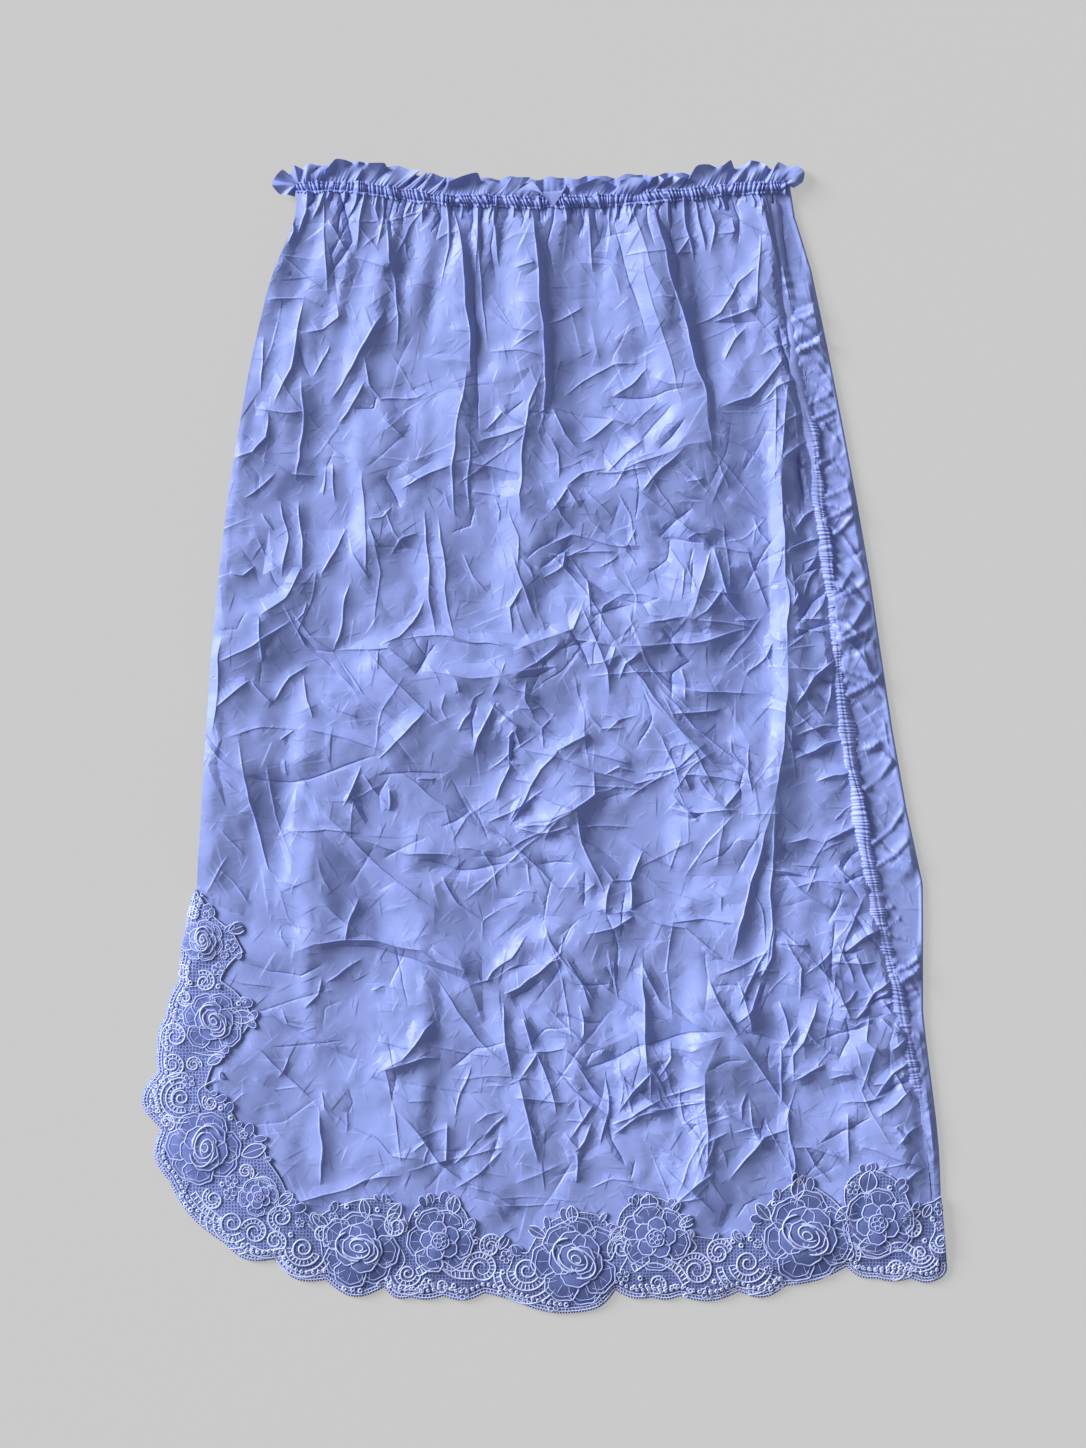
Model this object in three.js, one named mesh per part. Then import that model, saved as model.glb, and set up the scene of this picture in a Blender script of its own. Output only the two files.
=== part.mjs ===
// Pull-on pencil skirt of thin crinkled taffeta, lying flat with its front up.
// X runs across the skirt, Y runs up to the waist and Z stands off the surface it lies on.
// Every size is in millimetres.
//
// The skirt is cut as a front and a back, joined in a puckered seam that shows on its right.  The back
// wraps round the right edge and comes forward to that seam.  A narrow elastic casing gathers the waist
// under a ruffled frill, and a galloon of rose lace edges the hem and runs up the slit at the left.
import * as THREE from 'three';

// ---- driving dimensions ---------------------------------------------------------------------------
const BACK_WALL = 1.0;          // the back lies flat on the surface
const FRONT_WALL = 1.4;         // cloth of the front, with its crinkles
const LACE_WALL = 1.2;
const FRILL_WALL = 1.2;
const SEAM_GAP = 0.35;          // between two pieces that are sewn edge to edge
const FRONT_LEVEL = 3.0;        // top face of the front where no fold lifts it
const TURN_RADIUS = 1.5;        // of the back where it turns round the right edge
const LAYER_GAP = 0.3;          // between two pieces that lie on each other

const CASING_WIDTH = 8.0;
const CASING_CROWN = 5.2;       // top of the elastic casing between its gathers
const CASING_SIDE = 3.8;        // top of its two stitched edges
const CASING_GATHERS = 118;
const GATHER_DEPTH = 0.9;
const CASING_LEFT = -168;
const CASING_RIGHT = 164;

const FRILL_LIFT = 5.0;         // how far a ruffle stands above the dips beside it
const FRILL_LEFT = -166;
const FRILL_RIGHT = 162;

const SEAM_WIDTH = 8.0;         // overlocked seam allowance
const SEAM_WALL = 1.2;
const SEAM_PUCKERS = 32;
const PUCKER_HEIGHT = 0.9;
const SEAM_TOP_Y = 362;
const SEAM_BOTTOM_Y = -296;

const UPPER_ROWS = 18;          // bands of the cloth between the waist and the top of the slit
const FLAP_COLUMNS = 3;
const FLAP_PUFF = 1.4;          // how far the turned edge of the back swells between its creases
const LACE_ROWS = 5;
const ROSE_RELIEF = 0.9;        // corded roses stand this far above the lace ground

const FOLD_FADE_START = 7;      // folds die away between these two distances from the side seam
const FOLD_FADE_END = 22;
const EDGE_FADE = 9;            // and over this width at the waist

const COLOURS = {
  cloth: 0x96a5e6,
  casing: 0x8f9ee0,
  seam: 0x98a6e2,
  lace: 0x7580b4,
};

// ---- tables ---------------------------------------------------------------------------------------
// A table is a list of rows, turned into objects under the names of its columns.
function table(columns, rows) {
  return rows.map((row) => Object.fromEntries(columns.map((name, at) => [name, row[at]])));
}

// Centre line of the elastic casing.
const waistLine = table(['x', 'y'], [
  [-175, 373.5], [-130, 373], [-100, 368.5], [-60, 364.5], [0, 362.5],
  [60, 365], [100, 369], [140, 373], [180, 374],
]);

// Left edge, from the casing to the top of the slit.
const leftEdge = table(['y', 'x'], [
  [372, -168], [350, -172], [330, -181], [300, -188], [262, -197], [230, -203], [200, -208],
  [150, -216], [100, -221], [50, -226], [0, -229], [-50, -232], [-103, -235.5],
]);

// Right edge, where the back turns over.
const rightEdge = table(['y', 'x'], [
  [372, 165], [350, 174], [322, 181], [280, 190], [230, 200], [182, 209], [134, 218],
  [79, 226.5], [37, 232], [0, 238], [-56, 248], [-90, 255.5], [-105, 259], [-128, 258],
  [-187, 258], [-220, 261.6], [-250, 266], [-293, 270], [-320, 270],
]);

// Side seam, where the front meets the back that has come round the edge.
const sideSeam = table(['y', 'x'], [
  [372, 152.5], [340, 157], [300, 163], [265, 169], [240, 175.5], [190, 182], [160, 186],
  [128, 189.5], [79, 194], [49, 199], [0, 206.5], [-32, 210.6], [-60, 215.5], [-108, 225],
  [-151, 234], [-199, 246], [-238, 253], [-265, 258], [-293, 262], [-320, 264],
]);

// The lace galloon, a row for each rose, fan or leaf, from the top of the slit round to the seam.
// outX, outY and inX, inY are where the scallops start on the free and on the sewn edge.  Each bulge
// is how far the scallop swells from a straight line on its way to the next row.
const galloon = table(['outX', 'outY', 'outBulge', 'inX', 'inY', 'inBulge'], [
  [-237.5, -105, 1, -235.5, -103, -3],
  [-244, -134, 1, -211, -131, 0],
  [-246, -149, 1, -203, -146, -2],
  [-248, -166, 2, -219, -165, 3],
  [-257, -190, 2, -197, -190, 3],
  [-262, -210, 1, -215, -209, -2],
  [-262, -227, 12, -229, -238, 3],
  [-260, -266, 7, -206, -264, 5],
  [-255, -301, 5, -187, -287, 2],
  [-217, -344, 6, -172, -315, 0],
  [-183, -355, 7, -155, -327, 1],
  [-148, -369, 9, -137, -317, 2],
  [-108, -374, 4, -108, -313, 3],
  [-90, -381, 2, -94, -336, 7],
  [-68, -380, 4, -70, -312, 7],
  [-40, -378, -1, -49, -337, -2],
  [-8, -388, 2, -11, -350, 7],
  [25, -391, 4, 24, -322, 7],
  [49, -376, 3, 49, -342, 9],
  [74, -381, 2, 72, -311, 8],
  [93, -380, 5, 95, -336, -3],
  [133, -377, 6, 139, -338, 4],
  [165, -373, 3, 172, -300, 3],
  [206, -360, 3, 205, -322, 8],
  [226, -368, 2, 219, -292, 8],
  [250, -368, 3, 250, -321, 1],
  [270, -368, 2, 263.5, -315, 0],
  [274, -357, 0, 270, -311, 0],
]);
const CORNER_ROW = 9;           // the galloon turns from the slit into the hem here
const SEAM_ROW = 26;            // and meets the side seam here

// Centres of the corded roses and fans that stand up from the lace.
const laceMotifs = table(['x', 'y', 'radius'], [
  [-232, -142, 18], [-229, -194, 20], [-233, -280, 24], [-125, -350, 24], [-70, -342, 18],
  [22, -355, 24], [78, -340, 18], [178, -342, 26], [228, -328, 18], [-215, -325, 16],
  [-10, -366, 14], [143, -360, 16],
]);

// Tips and dips of the frill's free edge, a row for each ruffle.
const ruffles = table(['tipX', 'tipY', 'dipX', 'dipY'], [
  [-181, 380, -173, 381], [-161, 389, -150, 380], [-138, 391, -130, 389], [-120, 390, -112, 387],
  [-102, 387, -94, 384], [-84, 384, -71, 379], [-63, 382, -56, 380], [-46, 382, -38, 378],
  [-24, 380, -14, 377], [-5, 377, 3, 372], [12, 377, 20, 373], [34, 378, 48, 375],
  [61, 381, 68, 379], [76, 381, 86, 378], [97, 382, 102, 383], [109, 388, 119, 385],
  [128, 390, 136, 388], [145, 391, 152, 388], [163, 388, 174, 381],
]);

// The largest folds: each is a ridge from one end to the other, or a valley where the height is
// below zero.  The first rows hang from the gathered waist, and the others cross the skirt.
const folds = table(['x0', 'y0', 'x1', 'y1', 'height', 'width'], [
  [-148, 372, -148, 300, 2.5, 8], [-118, 372, -99, 285, 2.8, 9],
  [-56, 368, -57, 230, 5.0, 9], [-57, 230, -60, 150, 4.0, 10], [-60, 150, -58, 74, 3.0, 11],
  [-40, 360, -38, 262, 2.5, 9], [-10, 366, -9, 240, 4.5, 9],
  [-9, 240, -19, 150, 4.0, 11], [-20, 150, -22, 62, 4.0, 12],
  [72, 368, 92, 280, 4.5, 10], [92, 280, 114, 185, 3.5, 11], [146, 358, 145, 288, 2.5, 9],
  [162, 250, 157, 160, 3.5, 10], [158, 160, 159, 20, 4.5, 10], [159, 20, 147, -60, 4.5, 11],
  [147, -60, 128, -140, 3.5, 12],
  [-163, 297, -183, 226, 2.5, 10], [-108, 291, -145, 229, 2.5, 10], [120, 223, 164, 250, 2.5, 9],
  [46, 229, 107, 238, 2.8, 10], [44, 177, 85, 150, 2.0, 10], [-163, 114, -192, 80, 3.0, 9],
  [-172, 86, -98, 8, -2.0, 10], [-168, 90, -88, 2, 2.2, 9], [-62, 69, -18, 57, -2.0, 10],
  [-20, 58, 20, 74, 3.0, 9], [20, 74, 27, 90, 2.5, 9], [6, 124, 72, 82, -1.8, 10],
  [78, 60, 141, 74, 2.5, 11], [52, 62, 120, -42, 2.8, 10], [78, 35, 146, -28, 2.8, 9],
  [-80, 44, 10, 48, 2.5, 10], [-112, -15, 5, -97, 2.8, 10], [-107, -9, -81, 18, 2.5, 9],
  [-165, 8, -107, -9, 1.8, 10], [-202, -28, -112, -14, -1.6, 12], [-150, -50, -72, -117, 2.0, 10],
  [-128, -69, -20, -86, 2.2, 10], [-180, -98, -112, -140, 2.6, 11],
  [-168, -143, -82, -144, 3.0, 10], [-82, -144, -27, -174, 2.8, 10], [-27, -174, 12, -150, 2.4, 10],
  [-184, -188, -112, -227, 2.2, 11], [-112, -227, -74, -193, 2.6, 9], [22, -50, 42, -108, 2.6, 11],
  [60, -118, 120, -148, 2.6, 10], [69, -150, 70, -228, 2.8, 9], [-5, -187, 47, -215, 2.0, 10],
  [27, -227, 120, -200, -1.8, 10], [-28, -180, -6, -284, 2.4, 11], [118, -206, 108, -300, 2.6, 10],
  [150, -272, 112, -247, 1.8, 10], [167, -255, 169, -300, 2.2, 10], [155, -140, 210, -192, 2.4, 10],
  [165, -72, 206, -80, 1.8, 9], [150, -90, 207, -105, 2.0, 10], [-151, -250, -152, -305, 2.2, 9],
]);

// ---- reading the tables ---------------------------------------------------------------------------
const mix = (from, to, share) => from + (to - from) * share;
const mixPoints = (a, b, share) => [mix(a[0], b[0], share), mix(a[1], b[1], share)];

// Straight-line reading of one column at a place on another, which may rise or fall.
function readTable(rows, key, column, place) {
  const rising = rows[1][key] > rows[0][key];
  let at = 0;
  while (at < rows.length - 2 && (rising ? rows[at + 1][key] < place : rows[at + 1][key] > place)) {
    at += 1;
  }
  const share = (place - rows[at][key]) / (rows[at + 1][key] - rows[at][key]);
  return mix(rows[at][column], rows[at + 1][column], THREE.MathUtils.clamp(share, 0, 1));
}

const waistY = (x) => readTable(waistLine, 'x', 'y', x);
const leftX = (y) => readTable(leftEdge, 'y', 'x', y);
const rightX = (y) => readTable(rightEdge, 'y', 'x', y);
const seamX = (y) => readTable(sideSeam, 'y', 'x', y);
const casingFootY = (x) => waistY(x) - CASING_WIDTH / 2 - SEAM_GAP;

// One edge of the galloon at row + share: a scallop that swells to one side of its chord.
function galloonPoint(edge, row, share) {
  const here = galloon[row];
  const next = galloon[Math.min(row + 1, galloon.length - 1)];
  const a = [here[edge + 'X'], here[edge + 'Y']];
  const b = [next[edge + 'X'], next[edge + 'Y']];
  const chord = new THREE.Vector2(b[0] - a[0], b[1] - a[1]);
  const side = edge === 'in' ? 1 : -1;
  const swell = side * here[edge + 'Bulge'] * Math.sin(Math.PI * share) / Math.max(chord.length(), 1);
  const [x, y] = mixPoints(a, b, share);
  return [x - chord.y * swell, y + chord.x * swell];
}

// ---- how high the front lies ----------------------------------------------------------------------
function foldLift(x, y, { x0, y0, x1, y1, height, width }) {
  const alongX = x1 - x0;
  const alongY = y1 - y0;
  const share = ((x - x0) * alongX + (y - y0) * alongY) / (alongX * alongX + alongY * alongY);
  const inside = THREE.MathUtils.clamp(share, 0, 1);
  const away = Math.hypot(x - x0 - alongX * inside, y - y0 - alongY * inside);
  return height * Math.exp(-((away / width) ** 2));
}

// Folds add up softly, die away at the seam and the waist, and never press below the lowest level.
function frontLift(x, y) {
  let ridge = 0;
  let valley = 0;
  for (const fold of folds) {
    const lift = foldLift(x, y, fold);
    ridge = Math.max(ridge, lift);
    valley = Math.min(valley, lift);
  }
  const fromSeam = THREE.MathUtils.smoothstep(Math.abs(seamX(y) - x), FOLD_FADE_START, FOLD_FADE_END);
  const fromWaist = THREE.MathUtils.smoothstep(casingFootY(x) - y, 0, EDGE_FADE);
  return Math.max(ridge + valley, 0) * fromSeam * mix(0.45, 1, fromWaist);
}

const frontTop = (x, y) => FRONT_LEVEL + frontLift(x, y);

function motifRelief(x, y) {
  let relief = 0;
  for (const motif of laceMotifs) {
    const away = Math.hypot(x - motif.x, y - motif.y) / motif.radius;
    relief = Math.max(relief, ROSE_RELIEF * THREE.MathUtils.clamp(1.3 - away, 0, 1));
  }
  return relief;
}

// ---- closed walls ---------------------------------------------------------------------------------
// A closed body of points and quads, with its faces turned outward.
function closedBody(points, quads) {
  const faces = [];
  for (const [a, b, c, d] of quads) {
    faces.push(a, b, c, a, c, d);
  }
  let volume = 0;
  for (let at = 0; at < faces.length; at += 3) {
    const [a, b, c] = [0, 1, 2].map((corner) => new THREE.Vector3(...points[faces[at + corner]]));
    volume += a.dot(b.cross(c));
  }
  if (volume < 0) {
    faces.reverse();
  }
  const geometry = new THREE.BufferGeometry();
  geometry.setAttribute('position', new THREE.Float32BufferAttribute(points.flat(), 3));
  geometry.setIndex(faces);
  geometry.computeVertexNormals();
  return geometry;
}

// A wall between two grids of points with the same rows and columns: both faces and the four rims.
function wall(faceA, faceB) {
  const rows = faceA.length;
  const columns = faceA[0].length;
  const points = [...faceA.flat(), ...faceB.flat()];
  const a = (row, column) => row * columns + column;
  const b = (row, column) => rows * columns + row * columns + column;
  const quads = [];
  for (let row = 0; row < rows - 1; row += 1) {
    for (let column = 0; column < columns - 1; column += 1) {
      quads.push([a(row, column), a(row, column + 1), a(row + 1, column + 1), a(row + 1, column)]);
      quads.push([b(row, column), b(row + 1, column), b(row + 1, column + 1), b(row, column + 1)]);
    }
    quads.push([a(row, 0), a(row + 1, 0), b(row + 1, 0), b(row, 0)]);
    const last = columns - 1;
    quads.push([a(row + 1, last), a(row, last), b(row, last), b(row + 1, last)]);
  }
  for (let column = 0; column < columns - 1; column += 1) {
    quads.push([a(0, column + 1), a(0, column), b(0, column), b(0, column + 1)]);
    const last = rows - 1;
    quads.push([a(last, column), a(last, column + 1), b(last, column + 1), b(last, column)]);
  }
  return closedBody(points, quads);
}

// A bar through sections with the same number of corners, closed at both ends.
function bar(sections) {
  const corners = sections[0].length;
  const points = sections.flat();
  const quads = [];
  for (let at = 0; at < sections.length - 1; at += 1) {
    for (let corner = 0; corner < corners; corner += 1) {
      const next = (corner + 1) % corners;
      const here = at * corners;
      const there = here + corners;
      quads.push([here + corner, here + next, there + next, there + corner]);
    }
  }
  const geometry = closedBody(points, quads);
  const faces = [...geometry.index.array];
  const turned = faces[0] !== 0;
  const end = (sections.length - 1) * corners;
  for (let corner = 1; corner < corners - 1; corner += 1) {
    const near = [0, corner + 1, corner];
    const far = [end, end + corner, end + corner + 1];
    faces.push(...(turned ? near.reverse() : near), ...(turned ? far.reverse() : far));
  }
  geometry.setIndex(faces);
  geometry.computeVertexNormals();
  return geometry;
}

function flatWall(grid, bottom, top) {
  const at = (height) => grid.map((row) => row.map(([x, y]) => [x, y, height]));
  return wall(at(top), at(bottom));
}

function piece(name, geometry, color, roughness) {
  const material = new THREE.MeshStandardMaterial({ color, roughness, metalness: 0 });
  const mesh = new THREE.Mesh(geometry, material);
  mesh.name = name;
  return mesh;
}

// ---- edges of the cloth ---------------------------------------------------------------------------
// Points moved off a line of points, to its left as it runs.
function besideLine(line, distance) {
  return line.map(([x, y], at) => {
    const [x0, y0] = line[Math.max(at - 1, 0)];
    const [x1, y1] = line[Math.min(at + 1, line.length - 1)];
    const length = Math.hypot(x1 - x0, y1 - y0);
    return [x - (y1 - y0) / length * distance, y + (x1 - x0) / length * distance];
  });
}

// The sewn edge of the galloon: `steps` points for each of its rows.
function sewnEdge(fromRow, toRow, steps) {
  const line = [];
  for (let row = fromRow; row < toRow; row += 1) {
    for (let step = 0; step < steps; step += 1) {
      line.push(galloonPoint('in', row, step / steps));
    }
  }
  line.push(galloonPoint('in', toRow, 0));
  return line;
}

// The four edges of a cloth panel, down to one row of the galloon.  The back takes every second point
// of the front's edges.
function panelEdges(steps, lastRow, reachRight) {
  const upperRows = UPPER_ROWS * steps / 2;
  const laceSide = besideLine(sewnEdge(0, lastRow, steps), SEAM_GAP);
  const corner = CORNER_ROW * steps;
  const topY = casingFootY(CASING_LEFT);
  const left = [];
  for (let row = 0; row < upperRows; row += 1) {
    const y = mix(topY, leftEdge.at(-1).y, row / upperRows);
    left.push([leftX(y), y]);
  }
  left.push(...laceSide.slice(0, corner + 1));
  const bottom = laceSide.slice(corner);
  const drop = left.map(([, y]) => (topY - y) / (topY - left.at(-1)[1]));
  const right = drop.map((share) => reachRight(share, bottom.at(-1)));
  bottom[bottom.length - 1] = right.at(-1);
  const across = bottom.map(([x]) => (x - bottom[0][0]) / (bottom.at(-1)[0] - bottom[0][0]));
  const top = across.map((share) => {
    const x = mix(left[0][0], right[0][0], share);
    return [x, casingFootY(x)];
  });
  return { left, right, top, bottom, drop, across };
}

// A point of the panel from its four edges.
function panelPoint({ left, right, top, bottom, drop, across }, row, column) {
  const v = drop[row];
  const u = across[column];
  return [0, 1].map((axis) => {
    const rows = mix(top[column][axis], bottom[column][axis], v);
    const columns = mix(left[row][axis], right[row][axis], u);
    const corners = mix(
      mix(left[0][axis], right[0][axis], u),
      mix(left.at(-1)[axis], right.at(-1)[axis], u),
      v,
    );
    return rows + columns - corners;
  });
}

function panelGrid(edges) {
  return edges.left.map((_, row) => edges.bottom.map((__, column) => panelPoint(edges, row, column)));
}

function seamPoint(share, bottomCorner) {
  const y = mix(casingFootY(sideSeam[0].x), bottomCorner[1], share);
  return [seamX(y) - SEAM_GAP / 2, y];
}

// ---- front ----------------------------------------------------------------------------------------
const frontEdges = panelEdges(2, SEAM_ROW, seamPoint);

// The seam runs straight between every second row, as the edge of the back beside it does.
for (let row = 1; row < frontEdges.right.length - 1; row += 2) {
  frontEdges.right[row] = mixPoints(frontEdges.right[row - 1], frontEdges.right[row + 1], 0.5);
}

function frontPanel() {
  const grid = panelGrid(frontEdges);
  const top = grid.map((row) => row.map(([x, y]) => [x, y, frontTop(x, y)]));
  const under = top.map((row) => row.map(([x, y, z]) => [x, y, z - FRONT_WALL]));
  return piece('front_panel', wall(top, under), COLOURS.cloth, 0.5);
}

// ---- back -----------------------------------------------------------------------------------------
// One row of the back runs flat under the front, turns up round the right edge and comes forward.
function backPanel() {
  const turn = [-Math.PI / 4, 0, Math.PI / 4];
  const edges = panelEdges(1, galloon.length - 1, (share, bottomCorner) => {
    const y = mix(casingFootY(CASING_RIGHT), bottomCorner[1], share);
    return [rightX(y) - TURN_RADIUS, y];
  });
  const outer = [];
  const inner = [];
  panelGrid(edges).forEach((row, at) => {
    const [edgeX, edgeY] = row.at(-1);
    const [frontX, frontY] = frontEdges.right[at * 2];
    const aboveLace = at * 2 === frontEdges.right.length - 1 ? SEAM_GAP : 0;
    const seam = [frontX + SEAM_GAP, frontY + aboveLace];
    const out = row.map(([x, y]) => [x, y, 0]);
    const inside = row.map(([x, y]) => [x, y, BACK_WALL]);
    for (const angle of turn) {
      for (const [list, radius] of [[out, TURN_RADIUS], [inside, TURN_RADIUS - BACK_WALL]]) {
        list.push([edgeX + radius * Math.cos(angle), edgeY, TURN_RADIUS + radius * Math.sin(angle)]);
      }
    }
    for (let column = 0; column <= FLAP_COLUMNS; column += 1) {
      const [x, y] = mixPoints([edgeX, edgeY], seam, column / FLAP_COLUMNS);
      const clear = THREE.MathUtils.smoothstep(x - seam[0], SEAM_WIDTH / 2 + 1, SEAM_WIDTH + 8);
      const inFromEdge = column === 0 ? 0 : 1;
      const puff = FLAP_PUFF * clear * inFromEdge * Math.sin(at * 1.7) ** 2;
      out.push([x, y, 2 * TURN_RADIUS + puff]);
      inside.push([x, y, 2 * TURN_RADIUS - BACK_WALL + puff]);
    }
    outer.push(out);
    inner.push(inside);
  });
  return piece('back_panel', wall(outer, inner), COLOURS.cloth, 0.5);
}

// ---- side seam ------------------------------------------------------------------------------------
// The overlocked allowance lies over the join, with a pucker at each pull of the thread.
function sideSeamStrip() {
  const stations = SEAM_PUCKERS * 2;
  const low = FRONT_LEVEL + LAYER_GAP;
  const top = [];
  const under = [];
  for (let at = 0; at <= stations; at += 1) {
    const y = mix(SEAM_TOP_Y, SEAM_BOTTOM_Y, at / stations);
    const pucker = at % 2 ? PUCKER_HEIGHT : 0;
    const half = SEAM_WIDTH / 2 - (at % 2 ? 0.6 : 0);
    const line = [-half, 0, half].map((side) => [seamX(y) + side, y]);
    const crown = [0, 0.6, 0];
    top.push(line.map(([x, yy], column) => [x, yy, low + SEAM_WALL + pucker + crown[column]]));
    under.push(line.map(([x, yy], column) => [x, yy, low + pucker + crown[column] / 2]));
  }
  return piece('side_seam', wall(top, under), COLOURS.seam, 0.6);
}

// ---- waist ----------------------------------------------------------------------------------------
// The casing is a low bar, gathered into even ridges by the elastic inside it.
function casingFront() {
  const low = BACK_WALL + LAYER_GAP;
  const sections = [];
  const stations = CASING_GATHERS * 2;
  for (let at = 0; at <= stations; at += 1) {
    const x = mix(CASING_LEFT, CASING_RIGHT, at / stations);
    const y = waistY(x);
    const dip = at % 2 ? GATHER_DEPTH : 0;
    const half = CASING_WIDTH / 2 - dip / 2;
    sections.push([
      [x, y - half, low],
      [x, y - half, CASING_SIDE - dip],
      [x, y, CASING_CROWN - dip],
      [x, y + half, CASING_SIDE - dip],
      [x, y + half, low],
    ]);
  }
  return piece('waist_casing_front', bar(sections), COLOURS.casing, 0.55);
}

// A flat strip of the back between two lines y(x).
function backStrip(name, fromX, toX, stations, lowY, highY, color) {
  const row = (lineY) => Array.from({ length: stations + 1 }, (_, at) => {
    const x = mix(fromX, toX, at / stations);
    return [x, lineY(x)];
  });
  return piece(name, flatWall([row(highY), row(lowY)], 0, BACK_WALL), color, 0.55);
}

const casingBack = () => backStrip(
  'waist_casing_back', CASING_LEFT, CASING_RIGHT, 20,
  (x) => waistY(x) - CASING_WIDTH / 2,
  (x) => waistY(x) + CASING_WIDTH / 2,
  COLOURS.casing,
);

// The back frill shows as a low scalloped line behind the front one.
const frillBack = () => backStrip(
  'waist_frill_back', FRILL_LEFT - 4, FRILL_RIGHT + 4, 66,
  (x) => waistY(x) + CASING_WIDTH / 2 + SEAM_GAP,
  (x) => waistY(x) + CASING_WIDTH / 2 + 14 - Math.abs(x) / 40 + 1.5 * Math.sin(x / 5.2),
  COLOURS.cloth,
);

// The front frill fans out from the casing: its free edge runs over the tips and dips of the ruffles,
// and each tip stands up while each dip stays down.
function frillFront() {
  const stepsPerHalf = 3;
  const edge = [];
  for (const ruffle of ruffles) {
    edge.push({ x: ruffle.tipX, y: ruffle.tipY, up: 1 });
    edge.push({ x: ruffle.dipX, y: ruffle.dipY, up: 0 });
  }
  const stations = (edge.length - 1) * stepsPerHalf;
  const acrossRows = 3;
  const low = BACK_WALL + LAYER_GAP + FRILL_WALL;
  const top = Array.from({ length: acrossRows + 1 }, () => []);
  for (let at = 0; at <= stations; at += 1) {
    const span = Math.min(Math.floor(at / stepsPerHalf), edge.length - 2);
    const share = at / stepsPerHalf - span;
    const soft = (1 - Math.cos(Math.PI * share)) / 2;
    const free = [mix(edge[span].x, edge[span + 1].x, share), mix(edge[span].y, edge[span + 1].y, soft)];
    const up = mix(edge[span].up, edge[span + 1].up, soft);
    const footX = mix(FRILL_LEFT, FRILL_RIGHT, at / stations);
    const foot = [footX, waistY(footX) + CASING_WIDTH / 2 + SEAM_GAP];
    for (let row = 0; row <= acrossRows; row += 1) {
      const reach = row / acrossRows;
      const [x, y] = mixPoints(foot, free, reach);
      top[row].push([x, y, low + 1 - reach + FRILL_LIFT * up * Math.sin(reach * Math.PI * 0.6)]);
    }
  }
  const under = top.map((row) => row.map(([x, y, z]) => [x, y, z - FRILL_WALL]));
  return piece('waist_frill_front', wall(top, under), COLOURS.cloth, 0.5);
}

// ---- lace -----------------------------------------------------------------------------------------
// Lines across the galloon.  Its sewn edge runs straight between the points that the cloth uses, and
// its free edge follows every scallop.
function laceLines(clothSteps, laceSteps, rowsAcross) {
  const lastRow = galloon.length - 1;
  const sewn = sewnEdge(0, lastRow, clothSteps);
  const lines = [];
  for (let at = 0; at <= lastRow * laceSteps; at += 1) {
    const row = Math.floor(at / laceSteps);
    const free = galloonPoint('out', row, (at % laceSteps) / laceSteps);
    const place = at * clothSteps / laceSteps;
    const before = Math.min(Math.floor(place), sewn.length - 2);
    const seam = mixPoints(sewn[before], sewn[before + 1], place - before);
    const line = [];
    for (let step = 0; step <= rowsAcross; step += 1) {
      line.push(mixPoints(seam, free, step / rowsAcross));
    }
    lines.push(line);
  }
  return lines;
}

function laceFront() {
  const lines = laceLines(2, 4, LACE_ROWS);
  const height = (x, y, onEdge) => frontTop(x, y) + (onEdge ? 0 : motifRelief(x, y));
  const top = lines.map((line) => line.map(([x, y], at) => [x, y, height(x, y, at % LACE_ROWS === 0)]));
  const under = lines.map((line) => line.map(([x, y]) => [x, y, frontTop(x, y) - LACE_WALL]));
  return piece('hem_lace_front', wall(top, under), COLOURS.lace, 0.7);
}

function laceBack() {
  return piece('hem_lace_back', flatWall(laceLines(1, 2, 1), 0, BACK_WALL), COLOURS.lace, 0.7);
}

// ---- the skirt ------------------------------------------------------------------------------------
const skirt = new THREE.Group();
skirt.add(
  frontPanel(), backPanel(), sideSeamStrip(),
  casingFront(), casingBack(), frillFront(), frillBack(),
  laceFront(), laceBack(),
);

export default skirt;
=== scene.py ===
# %% [markdown]
# # A crinkled taffeta skirt, lying flat
# The skirt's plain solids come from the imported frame.  This script lays real cloth over them: crumpled
# taffeta, a gathered elastic waist with its frill, a puckered side seam and a galloon of corded lace.
# Everything is measured in millimetres here and turned into Blender's metres when a mesh is made.

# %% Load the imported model
import math

import bpy
import numpy as np
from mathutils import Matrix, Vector
from mathutils.bvhtree import BVHTree
from mathutils.geometry import delaunay_2d_cdt


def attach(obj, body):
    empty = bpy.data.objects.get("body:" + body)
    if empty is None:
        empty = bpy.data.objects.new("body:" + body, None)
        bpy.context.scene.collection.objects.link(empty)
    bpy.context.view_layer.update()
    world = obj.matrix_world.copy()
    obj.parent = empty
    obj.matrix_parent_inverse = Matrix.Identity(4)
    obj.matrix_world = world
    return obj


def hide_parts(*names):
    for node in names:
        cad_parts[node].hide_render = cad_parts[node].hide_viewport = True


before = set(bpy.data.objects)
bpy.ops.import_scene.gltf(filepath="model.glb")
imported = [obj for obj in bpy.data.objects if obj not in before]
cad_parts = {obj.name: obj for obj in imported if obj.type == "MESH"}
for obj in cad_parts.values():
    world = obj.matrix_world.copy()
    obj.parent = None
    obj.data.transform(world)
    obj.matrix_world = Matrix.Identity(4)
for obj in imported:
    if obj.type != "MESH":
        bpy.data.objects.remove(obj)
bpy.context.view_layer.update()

MM = 0.001

# %% [markdown]
# ## Two small tools
# Colours are written as sRGB hex, the way a dyer's card gives them, and one function makes them linear.
# One function adds a shader node with its settings and links.

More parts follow.
